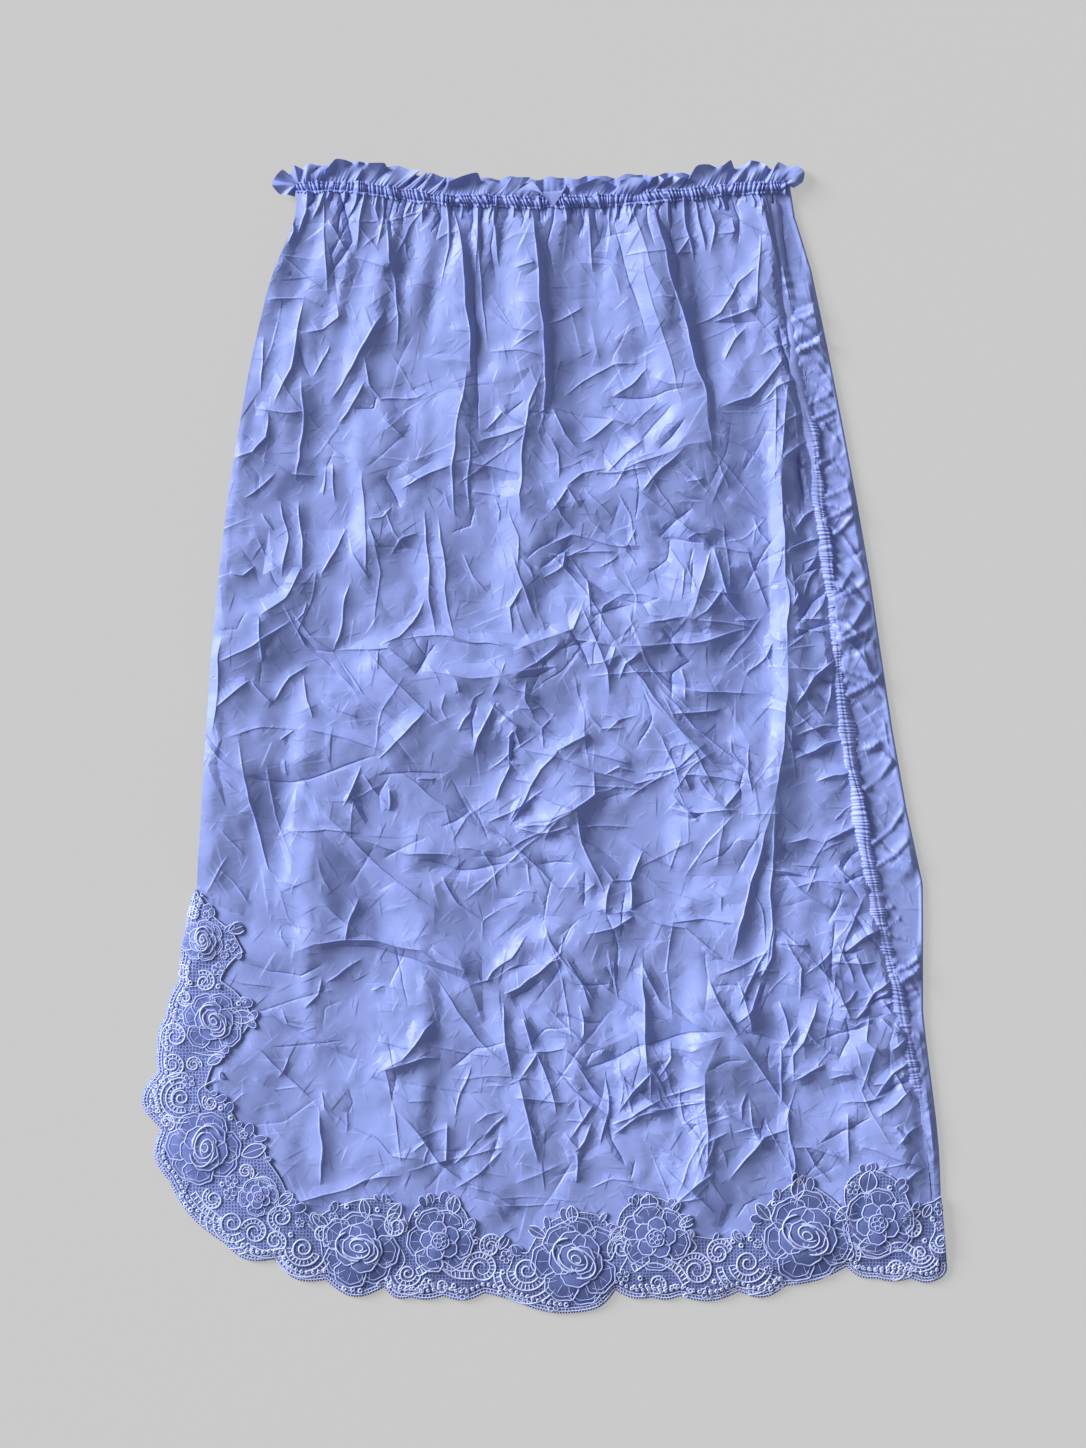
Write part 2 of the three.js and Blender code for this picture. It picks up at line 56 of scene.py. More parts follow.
# %% Colour and node helpers
def linear(hex_colour, alpha=1.0):
    """sRGB hex to the linear colour that Blender's sockets expect."""
    steps = [int(hex_colour[at:at + 2], 16) / 255 for at in (1, 3, 5)]
    straight = [s / 12.92 if s <= 0.04045 else ((s + 0.055) / 1.055) ** 2.4 for s in steps]
    return (*straight, alpha)


def add(material, kind, settings=None, **inputs):
    """Adds a shader node.  Inputs take a value, an output socket, or a node for its first output."""
    node = material.node_tree.nodes.new("ShaderNode" + kind)
    for name, value in (settings or {}).items():
        setattr(node, name, value)
    for name, value in inputs.items():
        key = int(name[2:]) if name.startswith("in") and name[2:].isdigit() else name.replace("_", " ")
        socket = node.inputs[key]
        if isinstance(value, bpy.types.Node):
            value = value.outputs[0]
        if isinstance(value, bpy.types.NodeSocket):
            material.node_tree.links.new(value, socket)
        else:
            socket.default_value = value
    return node


def connect(node, other, name):
    """Joins a node's first output to a named input of another."""
    node.id_data.links.new(node.outputs[0], other.inputs[name])


def new_material(name, hex_colour, roughness):
    """A Principled material, ready for its pattern nodes."""
    material = bpy.data.materials.new(name)
    material.use_nodes = True
    shader = material.node_tree.nodes["Principled BSDF"]
    shader.inputs["Base Color"].default_value = linear(hex_colour)
    shader.inputs["Roughness"].default_value = roughness
    shader.inputs["IOR"].default_value = 1.5
    return material, shader


# %% [markdown]
# ## The camera
# Flat cloth is looked at from straight above, so that no part of it is foreshortened.  A long lens
# keeps the edges of the view as upright as the middle.

# %% Camera
VIEW_WIDTH = 1086  # the view is this many units wide
VIEW_HEIGHT = 1448
MM_PER_UNIT = 0.68
VIEW_MIDDLE = (543.5, 737.0)  # the place in the view where the skirt's origin lies, from the upper left
LENS = 100.0
SENSOR = 36.0

view_long = VIEW_HEIGHT * MM_PER_UNIT
camera_height = view_long * LENS / SENSOR
camera_x = (VIEW_WIDTH / 2 - VIEW_MIDDLE[0]) * MM_PER_UNIT
camera_y = (VIEW_MIDDLE[1] - VIEW_HEIGHT / 2) * MM_PER_UNIT

camera_data = bpy.data.cameras.new("camera")
camera_data.lens = LENS
camera_data.sensor_width = SENSOR
camera_data.clip_end = 20
camera = bpy.data.objects.new("camera", camera_data)
camera.location = (camera_x * MM, camera_y * MM, camera_height * MM)
bpy.context.scene.collection.objects.link(camera)
bpy.context.scene.camera = camera
bpy.context.scene.view_settings.view_transform = "Standard"
print("camera stands", round(camera_height), "mm above the floor")

# %% [markdown]
# ## The light
# Creases show by their shading alone.  One large soft lamp stands low to the upper left, so that each
# crease is bright on one side and dark on the other, and a pale sky fills the shadows.

# %% Lights
def sun_light(name, strength, softness, azimuth, elevation):
    """Even light from one side.  Azimuth 90 shines from +Y and 180 from -X."""
    data = bpy.data.lights.new(name, "SUN")
    data.energy = strength
    data.angle = math.radians(softness)
    lamp = bpy.data.objects.new(name, data)
    a, e = math.radians(azimuth), math.radians(elevation)
    away = Vector((math.cos(a) * math.cos(e), math.sin(a) * math.cos(e), math.sin(e)))
    lamp.location = away * 3
    lamp.rotation_euler = away.to_track_quat("Z", "Y").to_euler()
    bpy.context.scene.collection.objects.link(lamp)


sun_light("window", strength=5.9, softness=28, azimuth=152, elevation=22)

world = bpy.data.worlds.new("studio")
world.use_nodes = True
world.node_tree.nodes["Background"].inputs["Color"].default_value = linear("#f4f5fa")
world.node_tree.nodes["Background"].inputs["Strength"].default_value = 0.26
bpy.context.scene.world = world

# %% [markdown]
# ## The floor
# Garments are often laid on a light table.  Most of its light comes through it from below, so shadows
# on it stay faint.  A grey surface that also glows does the same, with no lamp under it.

# %% Floor
FLOOR_SIDE = 6000
FLOOR_BELOW = 0.2  # the floor lies a hair lower than the skirt, so that they never touch

floor_mesh = bpy.data.meshes.new("floor")
half = FLOOR_SIDE / 2 * MM
floor_corners = [(-half, -half, 0), (half, -half, 0), (half, half, 0), (-half, half, 0)]
floor_mesh.from_pydata(floor_corners, [], [(0, 1, 2, 3)])
floor = bpy.data.objects.new("floor", floor_mesh)
floor.location.z = -FLOOR_BELOW * MM
bpy.context.scene.collection.objects.link(floor)
floor_material, floor_shader = new_material("light_table_floor", "#707070", 0.9)
floor_shader.inputs["Emission Color"].default_value = linear("#aeaeae")
floor_shader.inputs["Emission Strength"].default_value = 1.0
floor_mesh.materials.append(floor_material)

# %% [markdown]
# ## Making a mesh from a grid of points
# Cloth is easiest to think of as rows and columns of points, like its own weft and warp.  Most pieces
# below work out such a grid with numpy, and these functions turn it into a smooth mesh that rides on
# the skirt's one body.  Filling a mesh from whole arrays is far quicker than adding point after point.

# %% Grid to mesh
made = {}


def place(obj, material):
    """Links a piece, gives it its cloth and lets it ride on the skirt."""
    bpy.context.scene.collection.objects.link(obj)
    obj.data.materials.append(material)
    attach(obj, "root")
    made[obj.name] = len(obj.data.polygons)
    print(obj.name, "has", len(obj.data.polygons), "faces")
    return obj


def mesh_from(name, points, faces):
    """A smooth mesh from arrays of points in millimetres and of faces, which are all quads or triangles."""
    corners = faces.shape[-1]
    mesh = bpy.data.meshes.new(name)
    points = np.ascontiguousarray(points.reshape(-1, 3) * MM, dtype=np.float32)
    faces = np.ascontiguousarray(faces.reshape(-1, corners), dtype=np.int32)
    mesh.vertices.add(len(points))
    mesh.vertices.foreach_set("co", points.ravel())
    mesh.loops.add(faces.size)
    mesh.loops.foreach_set("vertex_index", faces.ravel())
    mesh.polygons.add(len(faces))
    mesh.polygons.foreach_set("loop_start", np.arange(0, faces.size, corners, dtype=np.int32))
    mesh.update(calc_edges=True)
    mesh.validate()
    mesh.shade_smooth()
    return bpy.data.objects.new(name, mesh)


def grid_quads(rows, columns, wrap=False):
    """Quads between neighbouring points of a grid, whose rows may close on themselves."""
    index = np.arange(rows * columns).reshape(rows, columns)
    if wrap:
        index = np.concatenate([index, index[:, :1]], axis=1)
    return np.stack([index[:-1, :-1], index[1:, :-1], index[1:, 1:], index[:-1, 1:]], axis=-1)


def sheet_object(name, grid):
    """An open sheet of cloth."""
    return mesh_from(name, grid, grid_quads(*grid.shape[:2]))


# %% [markdown]
# ## Reading the solids
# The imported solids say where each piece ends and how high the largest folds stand.  A ray dropped on
# them gives the height anywhere, and the highest and lowest X at a Y gives an edge.

# %% Heights and edges of the solids
def node_geometry(name):
    """Points and triangles of a solid, in millimetres."""
    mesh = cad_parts[name].data
    mesh.calc_loop_triangles()
    points = np.array([v.co[:] for v in mesh.vertices]) / MM
    return points, np.array([t.vertices[:] for t in mesh.loop_triangles])


def edge_lines(name, places):
    """The least and greatest X of a solid at each Y, from where its triangles cross that line."""
    points, triangles = node_geometry(name)
    sides = np.concatenate([triangles[:, [0, 1]], triangles[:, [1, 2]], triangles[:, [2, 0]]])
    a, b = points[sides[:, 0]], points[sides[:, 1]]
    lines = []
    for y in places:
        cross = (a[:, 1] - y) * (b[:, 1] - y) < 0
        share = (y - a[cross, 1]) / (b[cross, 1] - a[cross, 1])
        x = a[cross, 0] + share * (b[cross, 0] - a[cross, 0])
        lines.append((x.min(), x.max()))
    return np.array(lines).T


DOWN = Vector((0, 0, -1))


def drop(tree, x, y, start):
    """Height of the first thing that lies under a point, or None."""
    hit = tree.ray_cast(Vector((x, y, start)), DOWN)[0]
    return hit.z if hit else None


# %% [markdown]
# ## How high the solids stand
# Rays dropped on a lattice read the folds of the solids.  The lattice is then softened and read with a
# cubic spline, so that neither its own squares nor the solids' facets show in the cloth.

# %% Heights of the solids
LATTICE = 6.0  # spacing of the heights that are read from the solids
FRONT_LEVEL = 3.0  # top face of the front where nothing folds it

lattice_x = np.arange(-300, 301, LATTICE)
lattice_y = np.arange(-414, 415, LATTICE)


def read_heights(names):
    """Heights of the solids on a lattice, softened so that no facet shows."""
    trees = []
    for name in names:
        points, triangles = node_geometry(name)
        trees.append(BVHTree.FromPolygons([Vector(p) for p in points], triangles.tolist()))
    heights = np.full((len(lattice_y), len(lattice_x)), FRONT_LEVEL)
    for row, y in enumerate(lattice_y):
        for column, x in enumerate(lattice_x):
            found = [z for z in (drop(tree, x, y, 100) for tree in trees) if z is not None]
            if found:
                heights[row, column] = found[0]
    for _ in range(4):  # down, across, down, across
        padded = np.pad(heights, ((1, 1), (0, 0)), mode="edge")
        heights = ((padded[:-2] + 2 * padded[1:-1] + padded[2:]) / 4).T
    return heights


def soft_read(table, x, y):
    """Reads the lattice between its points with a cubic spline, so that slopes are smooth too."""
    column = np.clip((x - lattice_x[0]) / LATTICE, 1, len(lattice_x) - 3)
    row = np.clip((y - lattice_y[0]) / LATTICE, 1, len(lattice_y) - 3)
    c, r = column.astype(int), row.astype(int)
    tc, tr = column - c, row - r

    def weights(t):
        return ((1 - t) ** 3 / 6, (3 * t**3 - 6 * t**2 + 4) / 6,
                (-3 * t**3 + 3 * t**2 + 3 * t + 1) / 6, t**3 / 6)

    total = np.zeros_like(column)
    for i, wr in enumerate(weights(tr)):
        for j, wc in enumerate(weights(tc)):
            total += wr * wc * table[r + i - 1, c + j - 1]
    return total


front_heights = read_heights(["front_panel", "hem_lace_front"])
edge_y = np.arange(-308, 355, 3.0)
left_x, seam_x = edge_lines("front_panel", edge_y)
_, right_x = edge_lines("back_panel", edge_y)
print("tallest fold of the solids:", round(front_heights.max(), 1), "mm")


def ramp(value, start, end):
    """Rises evenly from 0 at `start` to 1 at `end`, which may be the lower of the two."""
    return np.clip((value - start) / (end - start), 0, 1)


def left_edge(y):
    """X of the front's left edge.  The elastic draws it in at the top."""
    return np.interp(y, edge_y, left_x) + 5.5 * ramp(y, 300, 362)


def seam_edge(y):
    """X of the side seam, where the front ends and the back comes round."""
    return np.interp(y, edge_y, seam_x)


def right_edge(y):
    """X of the turned edge, on the far right."""
    return np.interp(y, edge_y, right_x)


# %% [markdown]
# ## Crumpled like paper
# Taffeta crumples like paper: flat facets meet in straight sharp creases.  Random points joined into
# triangles, each point at its own height, give just such facets.  Several layers of them, stretched in
# different directions, add up to a crumple that never repeats.

# %% Facets and soft hills
NET_REACH_X, NET_REACH_Y = 310, 430  # the facets cover the whole skirt


class FacetNet:
    """A faceted surface whose corners lie about `spacing` millimetres apart, stretched along a slant."""

    def __init__(self, seed, spacing, height, slant, stretch):
        random = np.random.default_rng(seed)
        reach = math.hypot(NET_REACH_X, NET_REACH_Y) + 2 * spacing
        columns = np.arange(-reach / stretch, reach / stretch, spacing)
        rows = np.arange(-reach, reach, spacing)
        u, v = (g.ravel() for g in np.meshgrid(columns, rows))
        u = (u + random.uniform(-0.48, 0.48, u.shape) * spacing) * stretch
        v = v + random.uniform(-0.48, 0.48, v.shape) * spacing
        z = random.normal(0, height, u.shape)
        c, s = math.cos(math.radians(slant)), math.sin(math.radians(slant))
        x, y = c * u - s * v, s * u + c * v
        near = (np.abs(x) < NET_REACH_X + 3 * spacing) & (np.abs(y) < NET_REACH_Y + 3 * spacing)
        x, y, z = x[near], y[near], z[near]
        flat = [Vector(p) for p in zip(x, y)]
        corners, edges, triangles, origins, _, _ = delaunay_2d_cdt(flat, [], [], 0, 1e-6)
        solid = [Vector((p.x, p.y, z[origin[0]])) for p, origin in zip(corners, origins)]
        self.tree = BVHTree.FromPolygons(solid, triangles)
        self.sky = 10 * height + 10
        self.edges = np.array([(*corners[i], *corners[j]) for i, j in edges])

    def height(self, x, y):
        """Height of the facets at each point."""
        cast = self.tree.ray_cast
        total = [cast(Vector((a, b, self.sky)), DOWN)[0].z for a, b in zip(x.ravel(), y.ravel())]
        return np.array(total).reshape(x.shape)


def smooth_noise(x, y, cell, seed):
    """Soft random hills from -1 to 1, `cell` millimetres apart."""
    random = np.random.default_rng(seed)
    table = random.uniform(-1, 1, (64, 64))
    size = 63  # the hills repeat after this many
    u, v = x / cell + 31.7, y / cell + 17.3
    i, j = np.floor(u).astype(int), np.floor(v).astype(int)
    s, t = u - i, v - j
    s, t = s * s * (3 - 2 * s), t * t * (3 - 2 * t)
    i, j = i % size, j % size
    right, up = (i + 1) % size, (j + 1) % size
    low = table[j, i] * (1 - s) + table[j, right] * s
    high = table[up, i] * (1 - s) + table[up, right] * s
    return low * (1 - t) + high * t


# %% [markdown]
# ## Creases, placed one by one
# Each row is one crease: its height, how far its flank spreads toward the window's side (up and left),
# how far it spreads on the other side, and the points that it runs through.  A height below zero is a
# trough.  A crease that spreads far on one side and little on the other is a fold with a steep flank.

# %% Crease table
# height, spread toward the window, spread away from it, then x,y of each point, in millimetres
CREASES = [
    # folds that hang from the waist
    (2.2, 5, 2, -150,372, -148,340, -147,300),
    (2.4, 6, 2, -106,352, -105,325, -100,305, -98,285, -100,262),
    (1.6, 4, 3, -131,352, -120,340, -112,330),
    (4.2, 10, 1.6, -63,361, -58,345, -54,320, -52,300, -49,250),
    (-2.0, 4, 5, -46,330, -46,290, -45,240, -44,205),
    (2.2, 2, 5, -49,352, -44,330, -41,300, -38,262),
    (2.6, 7, 3, -52,250, -58,220, -62,184, -60,150),
    (4.2, 9, 1.5, -9,360, -5,335, -2,300, 0,280, 1,240, -1,210),
    (2.4, 6, 3, -1,248, -10,225, -14,200, -17,165, -15,150),
    (2.0, 3, 4, -33,358, -32,335, -30,318),
    (4.0, 9, 1.6, 76,362, 79,340, 88,310, 98,272, 108,238, 115,195),
    (-1.8, 4, 5, 45,360, 50,340, 55,320, 62,300, 72,268),
    (2.2, 5, 2, 62,358, 66,340, 72,322, 84,300),
    (2.2, 2, 5, 30,357, 31,340, 33,315),
    (2.4, 2, 4, 147,340, 146,310, 145,290),
    (3.0, 7, 2, 150,372, 154,350, 157,335, 163,305, 165,296),
    # broad slopes that carry the smaller creases
    (4.8, 5, 20, -192,290, -204,200, -213,130, -217,60, -221,0, -224,-60, -224,-118),
    (5.6, 9, 20, 68,262, 72,220, 76,180, 78,120, 74,60),
    (3.6, 5, 17, 92,-40, 98,-90, 106,-150, 112,-220, 112,-290),
    (3.0, 4, 16, -128,262, -122,210, -120,160, -124,110),
    (3.2, 4, 18, -150,-40, -156,-100, -158,-170, -150,-230),
    (3.2, 19, 4, -84,-120, -82,-180, -84,-240, -90,-300),
    (3.6, 7, 14, 96,170, 99,130, 100,80, 98,10),
    (3.8, 5, 15, -160,34, -162,-60, -168,-125),
    (-1.6, 12, 12, -124,-70, -130,-140, -125,-220, -131,-295),
    (2.4, 4, 13, 62,-150, 60,-200, 64,-250, 70,-300),
    (2.2, 12, 5, -6,150, -12,100, -18,70),
    (2.4, 13, 5, 24,20, 20,-20, 22,-60),
    (2.0, 4, 12, 196,-120, 204,-180, 212,-250),
    (2.2, 11, 4, 66,330, 72,300, 84,262, 94,225),
    (-2.4, 12, 5, -40,360, -45,300, -44,240),
    # the long tuck on the right: a trough, and the fold that stands on its right
    (-3.6, 13, 2.2, 160,238, 156,205, 154,160, 152,97, 153,67, 157,31, 152,-12, 146,-38),
    (4.2, 3.2, 4.5, 167,252, 164,215, 162,185, 163,134, 166,85, 165,49, 164,10, 160,-30, 157,-42),
    (2.0, 3, 2, 158,240, 158,205, 157,170),
    (1.8, 3, 2, 152,70, 158,65, 165,64),
    (3.0, 6, 2, 157,-42, 150,-65, 143,-90, 134,-125, 128,-150),
    (1.8, 3, 2, 157,-45, 155,-100, 154,-130, 150,-165),
    # slits beside the seam, where the cloth dips under the strip
    (-3.4, 1.2, 1.0, 158,322, 162,300, 166,283, 169,265, 171,250, 173,232),
    (-2.8, 1.0, 1.0, 160,278, 162,265, 168,246),
    (2.2, 1.4, 1.4, 147,374, 152,345, 158,320, 162,300, 166,280),
    (2.2, 1.4, 1.6, 153,372, 158,345, 163,315, 168,290),
    (-3.0, 1.0, 1.0, 173,196, 175,175, 178,158),
    # upper left
    (1.1, 3, 2, -128,327, -118,323, -104,318),
    (1.2, 2, 3, -178,327, -160,311, -150,303),
    (0.9, 2, 3, -182,320, -172,313),
    (1.3, 2, 2, -146,350, -132,329),
    (1.6, 3, 2, -188,296, -163,297, -150,292),
    (2.4, 4, 2, -163,297, -166,280, -171,250, -183,226),
    (-1.2, 2, 2, -167,267, -162,250, -158,243),
    (1.2, 3, 2, -189,272, -190,250, -191,235),
    (1.2, 2, 2, -141,295, -139,285, -148,277, -164,275),
    (2.2, 3, 2, -108,291, -116,277, -131,248, -145,229),
    (1.6, 2, 3, -121,258, -117,240, -110,230, -85,231, -78,235),
    (1.3, 2, 2, -120,242, -133,222, -140,212),
    (-1.3, 2, 2, -129,223, -115,223, -112,232),
    (1.2, 2, 3, -144,265, -156,244),
    (1.4, 3, 2, -164,244, -163,222, -166,190, -168,175),
    (1.6, 3, 2, -195,224, -175,221, -163,222),
    (2.2, 3, 2, -210,188, -196,193, -188,204, -187,222),
    (1.6, 2, 3, -196,193, -183,185, -170,179, -155,178),
    (1.0, 2, 3, -148,185, -150,165),
    (1.0, 2, 3, -143,186, -142,160),
    (1.2, 2, 3, -122,180, -122,150, -121,112),
    (1.0, 2, 2, -110,217, -95,204),
    (-1.3, 3, 2, -107,177, -100,165, -96,155),
    (1.3, 2, 2, -97,185, -85,175, -68,165),
    (1.6, 2, 2, -63,184, -80,178, -95,170),
    # upper middle
    (1.6, 2, 2, -20,318, -6,322),
    (1.3, 3, 2, -38,290, -20,277, -5,275, -22,263),
    (1.5, 2, 2, -38,262, -15,262, 0,258),
    (1.6, 2, 2, -40,208, -28,221, -13,210, -45,200),
    (-1.2, 2, 2, -25,219, -12,229),
    (1.5, 2, 2, -53,187, -40,183, -18,180),
    (1.3, 2, 2, -48,167, -30,163),
    (1.2, 2, 2, 0,279, 12,283, 27,292),
    (-1.5, 3, 2, 0,224, 15,221, 48,214),
    (1.5, 2, 3, 5,225, 14,205, 22,197, 35,190),
    (1.5, 2, 2, 28,200, 48,214, 60,210),
    (1.4, 2, 2, 16,170, 26,178, 42,183),
    (1.3, 2, 2, 5,152, 16,168, 26,155),
    (1.8, 3, 2, 15,233, 28,243, 50,252, 65,253),
    (-2.6, 4, 3, 46,229, 60,230, 80,232, 97,236),
    (1.7, 2, 2, 48,230, 60,240, 71,250),
    (2.0, 2, 3, 72,245, 85,238, 107,240),
    (-1.6, 2, 2, 88,225, 75,212, 66,200),
    (-1.4, 2, 2, 97,217, 88,205, 78,195),
    (1.6, 2, 2, 107,212, 95,203, 88,195),
    (1.8, 2, 3, 48,180, 75,190, 97,198, 113,200),
    (1.3, 2, 2, 42,180, 55,193, 68,202),
    (1.6, 2, 2, 66,166, 80,182, 95,196),
    (2.2, 3, 2, 44,177, 65,165, 85,150, 113,129),
    (1.0, 2, 2, 78,300, 90,299),
    (1.4, 2, 2, 113,365, 120,357, 135,350, 153,340),
    (1.5, 2, 3, 118,342, 130,343, 128,352),
    (1.4, 2, 2, 85,323, 92,330, 100,340),
    (1.6, 2, 2, 98,277, 120,288, 133,308, 146,320),
    (1.8, 3, 2, 115,282, 130,286, 145,291),
    (-1.3, 3, 2, 115,282, 146,281),
    (2.4, 4, 2, 120,223, 140,231, 152,244, 164,262),
    (1.6, 2, 2, 123,255, 130,270, 138,279),
    (1.6, 2, 3, 113,207, 130,200, 142,192, 153,184),
    (1.6, 3, 2, 124,161, 152,148),
    # middle left
    (3.2, 2, 5, -163,114, -176,93, -192,82),
    (1.3, 2, 2, -192,82, -193,60, -192,50),
    (-2.6, 5, 4, -178,87, -168,73, -154,60, -142,57, -128,34, -110,17, -98,8),
    (1.8, 2, 3, -172,86, -158,69, -143,58, -121,28, -98,9),
    (1.5, 3, 2, -178,90, -162,63, -150,54, -135,38, -124,26),
    (2.0, 3, 2, -119,59, -105,42, -91,27, -78,17, -66,7),
    (1.6, 2, 2, -140,58, -119,59, -105,60, -90,45),
    (-1.6, 3, 2, -73,63, -80,52, -87,42),
    (1.6, 2, 2, -110,62, -98,68, -88,78, -80,92),
    (2.4, 2, 4, -96,67, -76,70, -62,69, -50,65, -28,61, -18,57),
    (1.3, 2, 2, -150,26, -140,18, -125,13),
    (2.0, 2, 3, -165,8, -150,3, -132,-2, -107,-9),
    (2.8, 3, 5, -112,-15, -97,0, -88,10, -80,18),
    (2.4, 3, 3, -112,-14, -90,-28, -75,-40, -48,-58, -28,-69, 0,-92, 10,-101, 22,-101),
    (1.2, 2, 2, -230,-4, -220,-15, -203,-28),
    (-1.8, 4, 4, -202,-28, -190,-30, -170,-31, -160,-28, -130,-18, -112,-12),
    (1.5, 2, 3, -208,0, -203,-30, -198,-50, -187,-90, -175,-100),
    (2.4, 2, 4, -222,21, -210,31, -198,40),
    (1.4, 3, 2, -219,68, -221,40, -222,22, -226,2),
    (1.3, 2, 2, -219,52, -195,64, -173,78),
    (1.2, 2, 2, -198,40, -190,30, -183,22),
    (1.3, 2, 2, -182,24, -172,40, -158,50),
    (1.2, 2, 2, -162,42, -160,25, -156,14),
    (1.6, 3, 2, -178,160, -174,135, -177,108),
    (1.6, 3, 2, -166,160, -165,135, -162,112),
    (1.6, 3, 2, -135,142, -143,125, -150,108),
    (1.5, 2, 3, -131,105, -136,85, -142,58),
    (1.2, 2, 2, -214,112, -204,110, -195,116),
    (2.0, 3, 3, -80,155, -78,110, -74,70),
    (2.2, 2, 4, -71,150, -66,100, -62,69),
    (1.2, 2, 2, -124,-20, -130,-35, -136,-47),
    (1.3, 2, 2, -123,-25, -113,-38, -105,-46),
    (1.4, 2, 2, -104,-35, -104,-50),
    # centre
    (3.0, 2, 4, -20,57, -10,62, 2,68, 20,74, 27,90),
    (-2.2, 3, 4, -18,40, -5,41, 8,47),
    (2.4, 3, 3, -80,44, -60,42, -48,40, -20,43, 0,47, 10,48),
    (1.8, 2, 2, -35,41, -20,33, -2,26),
    (1.6, 2, 2, -66,46, -58,38, -56,30),
    (3.0, 7, 2, 26,88, 33,72, 40,58, 44,45, 45,28),
    (1.4, 2, 2, 50,62, 45,48),
    (-2.2, 2, 3, 8,122, 20,112, 40,100, 55,93, 66,92, 73,80),
    (-2.0, 2, 3, 12,127, 25,120, 40,112, 50,108),
    (1.6, 2, 2, 5,131, 20,137, 45,131, 65,129),
    (2.0, 3, 3, 6,122, 20,108, 38,85, 52,62),
    (1.6, 2, 2, 30,148, 42,138, 55,131, 66,131),
    (2.6, 3, 3, 51,62, 60,47, 68,35, 80,20, 93,5, 105,-15, 115,-35),
    (1.8, 2, 2, 62,40, 72,24, 90,8, 105,-8, 118,-22),
    (2.8, 4, 3, 77,36, 90,22, 103,5, 120,-8, 135,-20, 147,-28),
    (1.8, 2, 3, 93,5, 103,-8, 120,-20, 148,-35),
    (2.2, 2, 4, 52,62, 72,62, 90,63, 110,66, 141,74),
    (1.6, 2, 2, 104,80, 96,82, 78,78, 70,76),
    (2.4, 3, 4, 88,147, 103,137, 114,129),
    (-2.4, 3, 3, 78,135, 90,147, 100,156),
    (-2.0, 3, 2, 80,134, 95,133, 108,131),
    (2.0, 2, 4, 113,129, 128,127, 141,125),
    (2.0, 3, 3, 113,128, 108,110, 103,92, 98,80),
    (1.8, 2, 3, 115,128, 122,105, 127,92),
    (2.0, 2, 3, 100,80, 110,86, 121,100, 130,88, 141,75),
    (1.5, 2, 2, 104,80, 120,78, 141,74),
    (-1.4, 3, 3, 72,111, 83,120, 85,133),
    (1.4, 2, 2, 95,33, 110,31, 150,29),
    (2.4, 2, 3, 10,-9, 20,-4, 31,2),
    (2.2, 3, 2, -15,-8, -5,-10, 8,-13, 20,-18, 35,-24, 50,-27, 62,-31, 77,-27, 82,-20),
    (2.0, 2, 3, 82,-20, 95,-27, 100,-36),
    (2.0, 2, 3, 27,-9, 40,-13, 60,-18),
    (2.0, 2, 2, -23,-60, -12,-40, -3,-23, 8,-12, 12,-6),
    (2.8, 3, 3, 35,-24, 35,-40, 20,-50, 0,-57, -16,-60),
    (-2.0, 4, 3, -20,-2, -22,-18),
    (1.8, 2, 2, -24,-20, -24,0, -20,4, -15,-7),
    (1.8, 3, 2, -48,-13, -45,0, -38,15, -34,24),
    (1.6, 2, 2, -34,-43, -28,-30, -22,-18),
    (1.5, 2, 2, 103,-26, 120,-28, 136,-31),
    (1.7, 2, 2, 103,-26, 113,-38, 123,-48, 135,-32),
    (1.5, 2, 2, 86,-38, 95,-48, 106,-57),
    # lower left
    (2.0, 3, 2, -150,-50, -130,-69, -122,-78, -100,-97, -72,-117),
    (1.8, 3, 3, -128,-69, -105,-76, -90,-79, -60,-80),
    (-2.2, 3, 3, -84,-84, -60,-89, -40,-89, -20,-86),
    (2.8, 3, 3, -180,-98, -165,-102, -150,-112, -130,-128, -112,-140),
    (1.6, 2, 2, -126,-110, -131,-125, -134,-140),
    (2.8, 5, 2, -168,-146, -155,-139, -118,-138, -82,-144, -72,-152, -50,-160, -27,-174),
    (-2.0, 3, 4, -150,-143, -118,-143, -90,-149, -60,-162, -35,-173),
    (1.8, 2, 2, -75,-142, -62,-152, -50,-160),
    (-1.6, 8, 6, -202,-152, -185,-160, -165,-162, -148,-152),
    (-1.8, 2, 3, -184,-188, -176,-195, -160,-204, -140,-214, -112,-227),
    (3.0, 3, 3, -112,-227, -95,-218, -86,-208, -80,-198, -74,-193),
    (2.0, 3, 2, -112,-227, -98,-222, -80,-217, -70,-218),
    (1.2, 2, 2, -112,-207, -88,-210),
    (1.5, 2, 2, -205,-206, -192,-213, -180,-225, -157,-247),
    (1.3, 2, 2, -150,-250, -135,-262, -115,-272, -103,-283, -85,-285),
    (2.2, 3, 3, -151,-252, -150,-280, -153,-305),
    (1.6, 2, 2, -97,-297, -120,-301, -135,-308, -170,-316),
    (1.6, 2, 2, -100,-252, -85,-268, -70,-290, -52,-303),
    (1.6, 2, 2, -65,-262, -66,-290),
    (1.3, 2, 2, -75,-285, -55,-300, -40,-306),
    (1.4, 2, 2, -72,-165, -60,-185, -45,-205, -28,-222),
    # lower middle
    (2.8, 8, 3, 22,-50, 26,-72, 33,-88, 42,-104),
    (2.0, 2, 3, -20,-62, 0,-60, 20,-51),
    (1.8, 2, 2, -20,-62, -5,-66, 18,-61),
    (2.6, 2, 3, -12,-134, -22,-150, -35,-158, -40,-166),
    (3.0, 3, 3, -27,-174, -15,-170, -3,-160, 5,-152, 12,-150),
    (-2.2, 4, 4, -22,-178, -10,-172, 0,-165),
    (1.8, 3, 2, 0,-130, 10,-148, 22,-163, 35,-180),
    (2.4, 3, 2, -5,-187, 5,-195, 20,-202, 47,-215),
